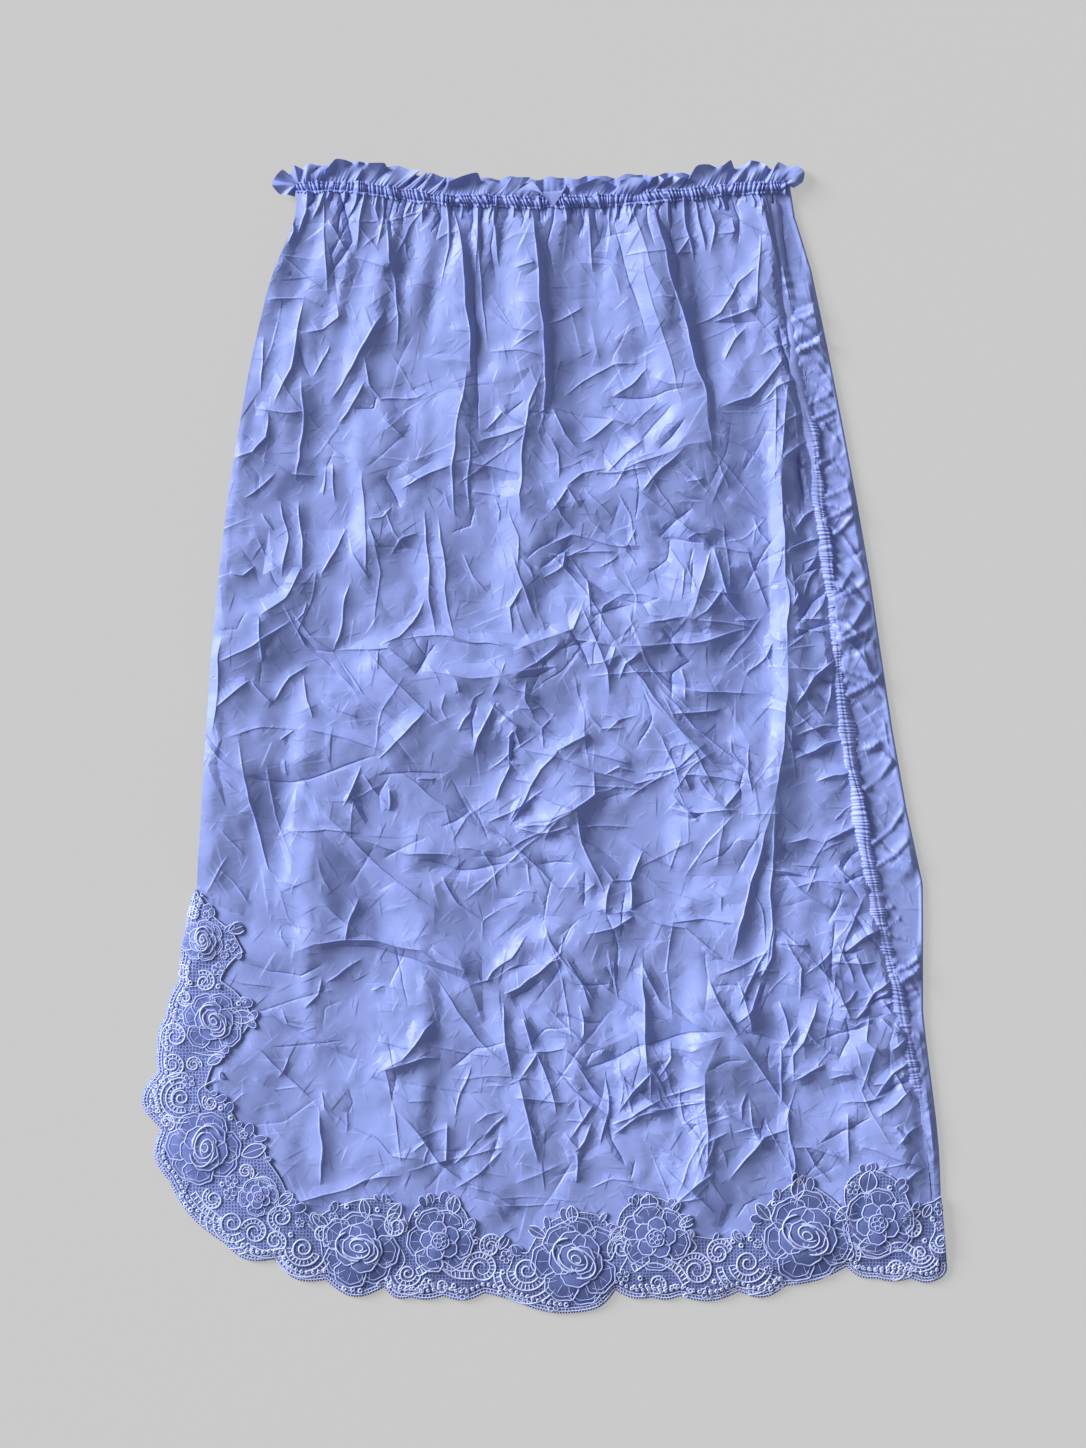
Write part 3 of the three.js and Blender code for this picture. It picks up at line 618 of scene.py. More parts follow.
    (-2.4, 3, 3, 27,-227, 40,-222, 65,-210, 80,-207, 100,-201, 122,-200),
    (2.0, 2, 3, -10,-214, 5,-212, 14,-210, 27,-227),
    (2.6, 4, 2, -17,-234, -12,-255, -7,-275, -2,-288),
    (1.8, 2, 2, -17,-234, -5,-215, 3,-235, 8,-256),
    (2.4, 4, 2, -28,-180, -27,-205, -22,-232),
    (2.0, 3, 2, -14,-190, -7,-214),
    (3.0, 2, 3, 46,-262, 60,-258, 72,-250, 81,-245),
    (2.6, 5, 2, 50,-255, 60,-241, 73,-228, 73,-245),
    (3.2, 3, 2, 67,-150, 69,-180, 69,-205, 71,-228),
    (2.0, 2, 2, 66,-152, 80,-180, 95,-190, 112,-199),
    (2.0, 2, 2, 35,-165, 48,-175, 69,-188),
    (3.0, 3, 4, 45,-119, 60,-118, 70,-124, 78,-127, 95,-130, 105,-138, 120,-148),
    (2.2, 3, 2, 60,-98, 60,-118),
    (2.2, 2, 3, 46,-98, 41,-120),
    (1.8, 2, 2, 39,-87, 48,-97, 60,-97, 66,-84, 68,-78),
    (1.6, 2, 2, 52,-69, 65,-77, 80,-85, 90,-90),
    (2.6, 3, 3, 30,-134, 45,-130, 62,-122),
    (2.4, 5, 2, 120,-206, 110,-228, 109,-246, 111,-270, 112,-288, 105,-306),
    (2.2, 2, 3, 110,-246, 90,-250, 70,-254),
    (2.0, 2, 2, 110,-234, 95,-240, 84,-243),
    (1.8, 2, 2, 80,-210, 100,-214, 118,-206),
    (1.6, 2, 2, 20,-221, 28,-233, 38,-245, 47,-247),
    (2.0, 2, 2, 18,-238, 30,-250, 45,-256),
    (2.2, 3, 2, 32,-262, 27,-275, 23,-280, 14,-268),
    (1.8, 3, 2, 22,-282, 23,-302),
    (1.6, 2, 2, 80,-290, 98,-308, 116,-322),
    (1.6, 2, 2, 116,-294, 98,-308, 84,-322),
    (1.5, 2, 2, -50,-304, -35,-308, -18,-320),
    (1.6, 2, 2, -28,-317, -10,-318, 12,-316),
    # lower right
    (2.0, 3, 2, 121,-203, 135,-208, 148,-225, 160,-245, 172,-258),
    (1.8, 2, 2, 112,-247, 130,-258, 150,-272, 138,-285, 126,-300),
    (2.4, 2, 4, 143,-280, 150,-272, 166,-267),
    (2.4, 3, 3, 165,-252, 167,-275, 170,-290, 168,-302),
    (1.6, 2, 2, 167,-278, 180,-278, 205,-287),
    (1.5, 2, 2, 207,-255, 208,-290),
    (1.6, 2, 2, 215,-278, 235,-285, 262,-293),
    (2.8, 3, 3, 170,-234, 170,-215, 178,-205, 183,-192, 186,-180),
    (2.2, 2, 2, 170,-233, 180,-228, 192,-222),
    (-2.2, 5, 5, 205,-190, 208,-205, 200,-220),
    (2.0, 3, 2, 196,-226, 205,-228, 225,-236, 238,-234),
    (1.8, 2, 2, 220,-188, 219,-208, 230,-218),
    (2.4, 3, 3, 155,-140, 170,-145, 185,-155, 200,-172, 207,-190, 218,-192),
    (-1.6, 3, 2, 195,-161, 210,-169, 228,-178),
    (1.5, 2, 2, 195,-151, 215,-153, 226,-152),
    (1.8, 2, 3, 157,-139, 170,-140, 180,-141),
    (2.2, 2, 3, 150,-90, 165,-92, 180,-96, 207,-105),
    (1.6, 2, 2, 165,-94, 178,-107, 196,-117),
    (2.0, 2, 3, 165,-72, 180,-69, 195,-75, 212,-82),
    (1.4, 2, 2, 195,-123, 215,-124),
    (2.2, 3, 3, 118,-148, 135,-155, 148,-162, 154,-150, 156,-125),
    (2.6, 3, 3, 132,-165, 138,-185, 142,-200),
    (-2.4, 4, 4, 122,-188, 140,-201, 165,-206),
    (2.0, 2, 3, 148,-166, 141,-186, 130,-195),
    (1.8, 2, 2, 160,-180, 166,-196, 170,-208),
    (1.8, 2, 2, 235,-214, 246,-205, 238,-195),
    (1.8, 2, 2, 228,-258, 240,-248, 250,-237),
    (1.6, 2, 2, 170,-15, 185,-10, 200,-3),
    (-1.5, 3, 2, 165,-10, 172,-8, 185,-15, 198,-18),
    (1.6, 2, 2, 172,38, 180,24, 190,12, 200,8),
    (1.4, 2, 2, 170,18, 180,8, 192,-2),
    (1.6, 2, 2, 172,74, 180,73, 192,72),
    (1.6, 2, 2, 165,108, 172,98, 168,90),
    (1.4, 2, 2, 176,118, 184,122, 178,112, 170,104),
]


# %% [markdown]
# ## The shape of one crease
# A crease that was pressed into taffeta is a thin sharp line with a flank on each side that slopes away.
# The two flanks seldom match, and both ends die away into the cloth.  The distance to the crease's run
# gives all of that as a height, which is simpler than folding a mesh and can be added to other creases.

# %% Crease heights
TAPER = 0.25  # share of a crease's length over which each end dies away
PINCH = 0.85  # the pressed line along a crease stands this far above its flanks
PINCH_WIDTH = 0.75
FLANK_REACH = 3.4  # a flank reaches this many spreads out
BROAD = 11  # folds with a wider spread are round and have no pressed line
LEFT_AT_END = 0.12  # share of a crease's height that is left at its very ends
REACH = 5.5  # no crease is felt further away than this many spreads


def crease_height(x, y, row):
    """Height that one crease adds at each point."""
    height, spread_lit, spread_dark, *run = row
    knots = np.array(run, float).reshape(-1, 2)
    lengths = np.hypot(*np.diff(knots, axis=0).T)
    ends = np.concatenate([[0], np.cumsum(lengths)]) / lengths.sum()
    best = np.full(x.shape, 1e9)
    side = np.zeros(x.shape)
    place_along = np.zeros(x.shape)
    for at in range(len(lengths)):
        (x0, y0), (x1, y1) = knots[at], knots[at + 1]
        run_x, run_y = x1 - x0, y1 - y0
        share = np.clip(((x - x0) * run_x + (y - y0) * run_y) / lengths[at] ** 2, 0, 1)
        off_x, off_y = x - x0 - run_x * share, y - y0 - run_y * share
        away = np.hypot(off_x, off_y)
        near = away < best
        best = np.where(near, away, best)
        side = np.where(near, run_x * off_y - run_y * off_x, side)
        place_along = np.where(near, ends[at] + share * (ends[at + 1] - ends[at]), place_along)
    chord = knots[-1] - knots[0]
    lit_side = 1 if 0.6 * chord[0] + chord[1] > 0 else -1
    spread = np.where(side * lit_side > 0, spread_lit, spread_dark)
    fade = np.clip(np.minimum(place_along, 1 - place_along) / TAPER, 0, 1)
    fade = LEFT_AT_END + (1 - LEFT_AT_END) * np.sin(fade * math.pi / 2)
    share = np.clip(best / (FLANK_REACH * spread), 0, 1)
    if max(spread_lit, spread_dark) > BROAD:
        return fade * height * (0.5 + 0.5 * np.cos(math.pi * share))
    pinch = math.copysign(min(PINCH, abs(height)), height) * np.exp(-best / PINCH_WIDTH)
    return fade * (pinch + height * (1 - share) ** 1.15)


def add_creases(total, x, y, rows):
    """Adds every crease to a grid of heights, each only near its own run."""
    for row in rows:
        reach = REACH * max(row[1], row[2])
        knots_x, knots_y = np.array(row[3::2]), np.array(row[4::2])
        near = ((x > knots_x.min() - reach) & (x < knots_x.max() + reach)
                & (y > knots_y.min() - reach) & (y < knots_y.max() + reach))
        if near.any():
            total[near] += crease_height(x[near], y[near], row)
    return total


# %% [markdown]
# ## The edges of the lace
# The lace lies on the front and calms it, so its two edges come before the cloth: scallops that swell to
# one side of a straight line.

# %% Edges of the galloon
# free edge x, y, swell, sewn edge x, y, swell, in millimetres, from the slit's top to the side seam
GALLOON = np.array([
    (-237.5, -105, 1, -235.5, -103, -3),
    (-244, -134, 1, -211, -131, 0),
    (-246, -149, 1, -203, -146, -2),
    (-248, -166, 2, -219, -165, 3),
    (-257, -190, 2, -197, -190, 3),
    (-262, -210, 1, -215, -209, -2),
    (-262, -227, 12, -229, -238, 3),
    (-260, -266, 7, -206, -264, 5),
    (-255, -301, 5, -187, -287, 2),
    (-217, -344, 6, -172, -315, 0),
    (-183, -355, 7, -155, -327, 1),
    (-148, -369, 9, -137, -317, 2),
    (-108, -374, 4, -108, -313, 3),
    (-90, -381, 2, -94, -336, 7),
    (-68, -380, 4, -70, -312, 7),
    (-40, -378, -1, -49, -337, -2),
    (-8, -388, 2, -11, -350, 7),
    (25, -391, 4, 24, -322, 7),
    (49, -376, 3, 49, -342, 9),
    (74, -381, 2, 72, -311, 8),
    (93, -380, 5, 95, -336, -3),
    (133, -377, 6, 139, -338, 4),
    (165, -373, 3, 172, -300, 3),
    (206, -360, 3, 205, -322, 8),
    (226, -368, 2, 219, -292, 8),
    (250, -368, 3, 250, -321, 1),
    (270, -368, 2, 263.5, -315, 0),
    (274, -357, 0, 270, -311, 0),
])
EDGE_STEPS = 14  # points in each scallop


def scalloped_edge(columns, side):
    """The points of one edge: each scallop is a half sine beside its chord."""
    points, swell = GALLOON[:, columns], GALLOON[:, columns.stop]
    line = []
    for at in range(len(points) - 1):
        chord = points[at + 1] - points[at]
        length = max(np.hypot(*chord), 1.0)
        share = np.arange(EDGE_STEPS)[:, None] / EDGE_STEPS
        off = side * swell[at] * np.sin(math.pi * share) / length
        line.append(points[at] + chord * share + off * np.array([-chord[1], chord[0]]))
    return np.vstack(line + [points[-1:]])


free_edge = scalloped_edge(slice(0, 2), -1)
sewn_edge = scalloped_edge(slice(3, 5), 1)

# %% [markdown]
# ## Where the lace calms the cloth
# Lace is sewn on flat and holds the cloth under it, so the crumple fades towards the lace and is weakest
# beneath it.  Whether a point lies under the lace, and how far it is from the sewn edge, gives the share
# of the crumple that is left.

# %% Where the lace calms the cloth
def inside(x, y, outline):
    """Whether points lie inside a closed outline, by counting crossings."""
    result = np.zeros(x.shape, bool)
    for (x0, y0), (x1, y1) in zip(outline, np.roll(outline, -1, axis=0)):
        if y0 != y1:
            crosses = (y0 > y) != (y1 > y)
            result ^= crosses & (x < (x1 - x0) * (y - y0) / (y1 - y0) + x0)
    return result


def distance_to(x, y, line):
    """Distance to the nearest point of a line of closely spaced points."""
    best = np.full(x.shape, 1e9)
    for px, py in line:
        best = np.minimum(best, (x - px) ** 2 + (y - py) ** 2)
    return np.sqrt(best)


def calm_by_lace(x, y):
    """Share of the crumple that is left near the lace and under it."""
    away = distance_to(x, y, sewn_edge[::3])
    under = inside(x, y, np.vstack([sewn_edge, free_edge[::-1]]))
    return np.where(under, np.clip(0.7 - away / 30, 0.3, 0.7), np.clip(0.7 + away / 50, 0.7, 1.0))


# %% [markdown]
# ## Small creases and gathers
# Between the creases that were placed one by one lie hundreds of small ones.  Their places are drawn
# at random, with a fixed seed, so that every run gives the same cloth.  Gathers fan out under the
# elastic, and the puckered seam pulls short folds into the cloth beside it.

# %% Small creases and gathers
CASING_FOOT = 3.3  # from the casing's centre line to the cloth below it

casing_points, _ = node_geometry("waist_casing_front")
casing_x = np.linspace(casing_points[:, 0].min(), casing_points[:, 0].max(), 60)
casing_y = np.array([casing_points[np.abs(casing_points[:, 0] - x) < 4, 1].mean() for x in casing_x])


def waist_line(x):
    """Y of the casing's centre line."""
    return np.interp(x, casing_x, casing_y)


def small_creases(seed, count, box, length, height, kink, width):
    """Creases with a kink, strewn over a box (x0, y0, x1, y1)."""
    random = np.random.default_rng(seed)
    rows = []
    for _ in range(count):
        x, y = random.uniform(box[0], box[2]), random.uniform(box[1], box[3])
        angle = random.uniform(0, 2 * math.pi)
        half_length = length * random.uniform(0.35, 1.0) / 2
        turn = random.normal(0, kink)
        ahead = (math.cos(angle) * half_length, math.sin(angle) * half_length)
        behind = (-math.cos(angle + turn) * half_length, -math.sin(angle + turn) * half_length)
        tall = height * random.uniform(0.3, 1.0) * random.choice([1, 1, -1])
        flanks = (width * random.uniform(1.6, 4.0), width * random.uniform(0.7, 1.5))
        lit, dark = flanks if random.uniform() < 0.6 else flanks[::-1]
        rows.append((tall, lit, dark, x + behind[0], y + behind[1], x, y, x + ahead[0], y + ahead[1]))
    return rows


def gather_rows(seed, count, foot):
    """Pleats that fan out below the elastic: many short deep ones and a few that run far down."""
    random = np.random.default_rng(seed)
    rows = []
    for at in range(count):
        x = -164 + 322 * (at + random.uniform(0.1, 0.9)) / count
        length = random.choice([8, 15, 28, 60], p=[0.34, 0.34, 0.20, 0.12]) * random.uniform(0.7, 1.4)
        lean = 0.0011 * x + random.normal(0, 0.12) * min(1, 14 / length)
        bend = random.normal(0, 0.09)
        top = foot(x)
        tall = random.uniform(0.5, 1.4) * random.choice([1, -1], p=[0.5, 0.5])
        spreads = random.uniform(0.5, 1.4), random.uniform(0.4, 0.9)
        start = x - 0.5 * length * lean, top + 0.5 * length
        knee = x + (0.5 * lean + bend) * length, top - 0.5 * length
        end = x + 1.25 * lean * length, top - length
        rows.append((tall, *spreads, *start, x, top, *knee, *end))
    return rows


def pull_rows(seed, side, reach, gap):
    """Short folds that the puckered seam pulls into the cloth on one side of it."""
    random = np.random.default_rng(seed)
    rows, y = [], 300.0
    while y > -320:
        y -= gap * random.uniform(0.6, 1.4)
        length = random.uniform(0.5, 1.0) * reach
        rise = random.choice([-1.1, -0.6, 0.7, 1.2]) * random.uniform(0.6, 1.2)
        x = float(seam_edge(np.array([y]))[0]) + side * 1.5
        tall = random.uniform(0.8, 2.0) * random.choice([1, 1, -1])
        spreads = random.uniform(0.7, 1.9), random.uniform(0.5, 1.2)
        knee = x + side * 0.5 * length, y + 0.4 * rise * length
        end = x + side * length, y + rise * length
        rows.append((tall, *spreads, x - side * 4, y, *knee, *end))
    return rows


small_rows = (small_creases(11, 330, (-240, -345, 265, 350), 34, 0.75, 0.35, 0.7)
              + small_creases(12, 130, (-60, -300, 240, 150), 46, 1.0, 0.35, 0.7)
              + gather_rows(5, 84, lambda x: waist_line(x) - CASING_FOOT) + pull_rows(6, -1, 26, 17))
line_rows = (small_creases(13, 130, (-235, -335, 262, 350), 85, 0.5, 0.3, 0.3)
             + small_creases(14, 110, (-60, -330, 262, 220), 52, 0.75, 0.35, 0.35))
flap_rows = pull_rows(7, 1, 30, 11) + pull_rows(8, 1, 44, 11)
print(len(CREASES), "creases placed by hand and", len(small_rows + line_rows), "small ones")

# %% [markdown]
# ## The height of the front
# Everything that lifts the cloth comes together here: the solids' own folds, the placed creases, the
# small ones, the crumple and the drapes.  Adding heights is a simple way to lay folds over folds, and a
# soft limit at the top and at the bottom keeps the sum from growing too tall or sinking too low.

# %% The height of the front
# seed, size of the facets in mm, height in mm, slant in degrees and stretch of each layer of crumple
FACET_NETS = [
    FacetNet(40, 46, 1.9, 60, 1.6),
    FacetNet(41, 22, 1.3, -40, 1.8),
    FacetNet(42, 14, 0.75, 25, 1.6),
    FacetNet(43, 8, 0.3, -65, 1.5),
]
WAIST_SPAN = 330  # width of the gathered waist, over which the drapes are spread


def crumple(x, y):
    """Facets of all sizes, on soft hills."""
    hills = 2.1 * smooth_noise(0.87 * x - 0.5 * y, 0.5 * x + 0.87 * y, 58, 61)
    hills += 1.0 * smooth_noise(0.77 * x + 0.64 * y, -0.64 * x + 0.77 * y, 26, 62)
    return hills + sum(net.height(x, y) for net in FACET_NETS)


def drapes(x, y):
    """Soft folds that hang from the gathers and die away towards the middle."""
    fade = ramp(y, 130, 300)
    share = (x - left_edge(y)) / (seam_edge(y) - left_edge(y))
    across = WAIST_SPAN * share
    wide = 2.1 * smooth_noise(across, 0.11 * y, 13, 71)
    return fade * (wide + 1.0 * smooth_noise(across, 0.15 * y, 6.5, 72))


def wander(x, y):
    """How far creases stray from their straight runs, in X and in Y: none is quite straight in cloth."""
    return tuple(1.4 * smooth_noise(x, y, 20, seed) + 0.4 * smooth_noise(x, y, 8, seed + 1)
                 for seed in (65, 67))


LIFT = 2.2  # the crumple lifts the cloth this far off the flat, on the whole
LOWEST, HIGHEST = 1.8, 13.5  # heights between which the front stays, softly
SOFTNESS = 1.3  # the greater, the more sudden those limits are
CORNER_LEVEL = 3.9  # the hem's right corner is pressed flat at this height


def front_height(x, y):
    """Height of the front's top face at each point, from its largest folds to its smallest."""
    stray_x, stray_y = wander(x, y)
    bent_x, bent_y = x + stray_x, y + stray_y
    total = add_creases(np.zeros_like(x), bent_x, bent_y, CREASES)
    total *= 1 - 0.15 * ramp(y, 190, 250)  # the cloth hangs smoother under the waist
    small = add_creases(np.zeros_like(x), bent_x, bent_y, small_rows)
    small = add_creases(small, bent_x, bent_y, line_rows)
    total += small * (1 - 0.5 * ramp(y, 150, 210) * ramp(y, 335, 315))
    busy = 0.85 + 0.3 * ramp(x, -90, 30) * ramp(y, 210, 150)
    busy *= 1 - 0.4 * ramp(y, 240, 320)
    total += LIFT + crumple(x, y) * busy + drapes(x, y)
    from_seam = seam_edge(y) - x
    total *= (0.35 + 0.65 * ramp(from_seam, 0, 6)) * calm_by_lace(x, y)
    height = soft_read(front_heights, x, y) + total
    low = ramp(y, -232, -262) * np.clip(1 - from_seam / 16, 0, 1)
    height = height * (1 - low) + CORNER_LEVEL * low
    height = LOWEST + np.logaddexp(0, SOFTNESS * (height - LOWEST)) / SOFTNESS
    return HIGHEST - np.logaddexp(0, SOFTNESS * (HIGHEST - height)) / SOFTNESS


# %% [markdown]
# ## The front
# The front is one sheet.  Its outline comes from the solid and passes a little under the lace, and each
# point of the sheet takes its height from the folds and creases above.  An even grid would blur every
# crease that runs aslant, so the points are set along the creases and beside them, and a constrained
# Delaunay triangulation joins them and keeps every crease as an edge.

# %% Front cloth
# The cloth's edge under the lace, from the top of the slit round to the seam.
under_slit = np.array([(-235.5, -103), (-231, -125), (-228, -165), (-230, -205), (-237, -238),
                       (-232, -262), (-216, -292), (-197, -327)], float)
under_hem = np.array([(-197, -327), (-155, -343), (-108, -346), (-70, -346), (-49, -352), (-11, -364),
                      (24, -358), (95, -352), (139, -352), (172, -338), (205, -338), (263, -330)], float)


def steps_along(line):
    """How far along a line each of its points is."""
    return np.concatenate([[0], np.cumsum(np.hypot(*np.diff(line, axis=0).T))])


def along(line, shares):
    """Points at given shares of a line's length."""
    steps = steps_along(line)
    return np.stack([np.interp(shares, steps / steps[-1], line[:, axis]) for axis in (0, 1)], axis=-1)


def even_steps(line, step):
    """Points along a line at even steps of about `step` millimetres."""
    steps = steps_along(line)
    count = max(2, int(round(steps[-1] / step)) + 1)
    places = np.linspace(0, steps[-1], count)
    return np.stack([np.interp(places, steps, line[:, axis]) for axis in (0, 1)], axis=-1)


def to_the_left(line):
    """At each point of a line, a step of one millimetre to its left."""
    way = np.gradient(line, axis=0)
    way /= np.maximum(np.hypot(*way.T), 1e-6)[:, None]
    return np.stack([-way[:, 1], way[:, 0]], axis=-1)


# %% [markdown]
# ## The outline of the front
# The left side and the seam are read from the solid, the waist follows the casing, and the hem runs a
# little inside the lace, which covers its edge.

# %% The outline of the front
def front_outline():
    """The edge of the front, all the way round."""
    upper = np.arange(366, -103, -4.0)
    left_line = np.vstack([np.column_stack([left_edge(upper), upper]), under_slit])
    left_line[0] = (-167, waist_line(-167) - CASING_FOOT)
    up = np.arange(-326, 366, 4.0)
    right_line = np.column_stack([seam_edge(up), up])
    right_line[-1, 1] = waist_line(right_line[-1, 0]) - CASING_FOOT
    top_x = np.linspace(right_line[-1, 0], left_line[0, 0], 120)[1:-1]
    top_line = np.column_stack([top_x, waist_line(top_x) - CASING_FOOT])
    return np.vstack([left_line, under_hem[1:], right_line, top_line])


def line_points(line, step, offsets=(0.0,)):
    """Points along a line at even steps, and beside it."""
    points = even_steps(line, step)
    sideways = to_the_left(points)
    return np.vstack([points + off * sideways for off in offsets])


def thinned(points, gap):
    """Keeps points that are at least about `gap` from those kept before."""
    taken = set()
    kept = []
    for point, (i, j) in zip(points, np.floor(points / gap).astype(int).tolist()):
        if (i, j) not in taken:
            taken.add((i, j))
            kept.append(point)
    return np.array(kept)


outline = line_points(np.vstack([front_outline(), front_outline()[:1]]), 1.9)[:-1]


# %% [markdown]
# ## Points where the cloth needs them
# A crease stays thin and sharp only if points lie on it and close beside it.  So the points follow each
# crease and the borders of the large facets, and an even pattern fills what they leave free.

# %% Points of the front
def strayed(points):
    """Where the points of a straight run really lie in the cloth."""
    moved = points
    for _ in range(5):
        moved = points - np.column_stack(wander(moved[:, 0], moved[:, 1]))
    return moved


def runs(rows, step, offsets=(0.0,)):
    """The centre line of each crease as evenly spaced points, or lines beside it."""
    return [strayed(line_points(np.array(row[3:], float).reshape(-1, 2), step, offsets)) for row in rows]


def beside_runs(rows, step):
    """Points on both sides of each crease, a millimetre away, where its narrow ridge ends."""
    return np.vstack(runs(rows, step, (1.0, -1.0)))


centre_runs = runs(CREASES, 2.2) + runs(small_rows, 2.6) + runs(line_rows, 3.4)
side_points = np.vstack([beside_runs(CREASES, 2.2), beside_runs(small_rows, 2.6),
                         beside_runs(line_rows, 3.4)])
facet_edges = [edge for net in FACET_NETS[:2] for edge in net.edges]
facet_points = np.vstack([line_points(edge.reshape(2, 2), 3.0) for edge in facet_edges])
side_points = thinned(side_points, 0.7)
facet_points = thinned(facet_points, 1.2)

FILL_STEP = 3.4  # mm between the points that fill what the lines leave free
FIELD = 900  # side of a square that holds the whole skirt
fill_x, fill_y = np.meshgrid(np.arange(-250, 270, FILL_STEP), np.arange(-370, 372, FILL_STEP * 0.87))
fill_x[::2] += FILL_STEP / 2
fill = np.column_stack([fill_x.ravel(), fill_y.ravel()])


def off_lines(points, lines, gap):
    """Keeps the points that have no point of the lines in their own square of side `gap`."""
    near = np.zeros((int(FIELD / gap), int(FIELD / gap)), bool)
    blocks = np.floor((lines + FIELD / 2) / gap).astype(int)
    near[blocks[:, 0], blocks[:, 1]] = True
    blocks = np.floor((points + FIELD / 2) / gap).astype(int)
    return points[~near[blocks[:, 0], blocks[:, 1]]]


def within(points):
    """The points that lie inside the front's outline."""
    return points[inside(points[:, 0], points[:, 1], outline)]


centre_points = within(np.vstack(centre_runs))
side_points, facet_points, fill = within(side_points), within(facet_points), within(fill)
side_points = off_lines(side_points, centre_points, 0.5)
facet_points = off_lines(facet_points, np.vstack([centre_points, side_points]), 0.8)
fill = off_lines(fill, np.vstack([centre_points, side_points, facet_points]), 2.2)
loose = np.vstack([side_points, facet_points, fill])
print("points beside creases and between them:", len(loose))


# %% [markdown]
# ## Joining the points
# A Delaunay triangulation joins the points with the plumpest triangles.  Being told which edges to keep,
# it never cuts across a crease.

# %% Triangles of the front
def triangulated(loose_points, lines, outline_points):
    """Triangles between scattered points that keep every line as an edge, cut off at the outline."""
    count = len(outline_points)
    edges = [(at, (at + 1) % count) for at in range(count)]
    points = [outline_points]
    start = count
    for line in lines:
        if inside(line[:, 0], line[:, 1], outline_points).any():
            points.append(line)
            edges += [(start + at, start + at + 1) for at in range(len(line) - 1)]
            start += len(line)
    points.append(loose_points)
    flat = [Vector(p) for p in np.vstack(points)]
    corners, _, triangles, *_ = delaunay_2d_cdt(flat, edges, [], 0, 0.02)
    xy = np.array([p[:] for p in corners])
    triangles = np.array(triangles)
    middle = xy[triangles].mean(axis=1)
    kept = triangles[inside(middle[:, 0], middle[:, 1], outline_points)]
    used, renumbered = np.unique(kept, return_inverse=True)
    return xy[used], renumbered.reshape(kept.shape)


front_xy, front_triangles = triangulated(loose, centre_runs, outline)
front_z = front_height(front_xy[:, 0], front_xy[:, 1])
print("front cloth stands up to", round(front_z.max(), 1), "mm and has", len(front_triangles), "triangles")

# %% [markdown]
# ## Taffeta
# The cloth is a crisp, closely woven synthetic taffeta in periwinkle.  It keeps every crease that it
# was crushed into, and its smooth filaments give it a soft gloss, with a paler sheen at a slant.
# The finest creases are too many for a mesh, so the material adds them as bump, one in each cell of a
# Voronoi pattern, over a plain weave.

# %% Fine creases in the material
THREAD = 0.30  # mm between threads, which is too fine to show
WEAVE_SHOWN = 3 * THREAD  # so the weave is drawn three times as coarse
WAVES_PER_UNIT = 3.18  # a wave texture of scale 1 has this many bands in a metre


def short_creases(material, place_at, size, depth, lit, dark, under=None):
    """One straight crease in each cell of `size` mm, at a random slant, as bump."""
    cell = add(material, "TexVoronoi", {"voronoi_dimensions": "2D"}, Vector=place_at, Scale=1 / (size * MM))
    from_middle = add(material, "VectorMath", {"operation": "SUBTRACT"}, in0=place_at,
                      in1=cell.outputs["Position"])
    chance = add(material, "SeparateColor", Color=cell.outputs["Color"])
    slant = add(material, "Math", {"operation": "MULTIPLY"}, in0=chance.outputs["Red"], in1=2 * math.pi)
    turned = add(material, "VectorRotate", {"rotation_type": "Z_AXIS"}, Vector=from_middle, Angle=slant)
    parts = add(material, "SeparateXYZ", Vector=turned)
    lit_flank = add(material, "Math", {"operation": "MULTIPLY_ADD"}, in0=parts.outputs["X"],
                    in1=1 / (lit * MM), in2=1.0)
    dark_flank = add(material, "Math", {"operation": "MULTIPLY_ADD"}, in0=parts.outputs["X"],
                     in1=-1 / (dark * MM), in2=1.0)
    roof = add(material, "Math", {"operation": "MINIMUM"}, in0=lit_flank, in1=dark_flank)
    ridge = add(material, "Clamp", Value=roof)
    along = add(material, "Math", {"operation": "ABSOLUTE"}, in0=parts.outputs["Y"])
    fade = add(material, "MapRange", Value=along, From_Min=0.15 * size * MM,
               From_Max=0.5 * size * MM, To_Min=1.0, To_Max=0.0)
    tall = add(material, "Math", {"operation": "MULTIPLY"}, in0=ridge, in1=fade)
    uneven = add(material, "Math", {"operation": "MULTIPLY"}, in0=tall, in1=chance.outputs["Green"])
    bump = add(material, "Bump", Strength=1.0, Distance=depth * MM, Height=uneven)
    if under is not None:
        connect(under, bump, "Normal")
    return bump


# %% [markdown]
# ## Dye and weave
# Dye never takes quite evenly, which gives large plain areas some life, and the plain weave breaks up
# the gloss.  The same function later makes the casing's and the seam's cloth, which is less crinkled.

# %% Taffeta
def uneven_dye_and_painted_light(material, shader, hex_colour, patch, detail, darkest, palest, through=None):
    """Dye takes unevenly, in soft patches of `patch` mm; `through` may add painted light that brightens it
    further.
    """
    metres = add(material, "TexCoord").outputs["Object"]
    cloud = add(material, "TexNoise", Vector=metres, Scale=1 / (patch * MM), Detail=detail)
    tone = add(material, "MapRange", Value=cloud.outputs["Fac"], To_Min=darkest, To_Max=palest)
    if through is None:
        value = tone
    else:
        value = add(material, "Math", {"operation": "MULTIPLY"}, in0=tone, in1=through)
    colour = add(material, "HueSaturation", Color=linear(hex_colour), Value=value)
    connect(colour, shader, "Base Color")


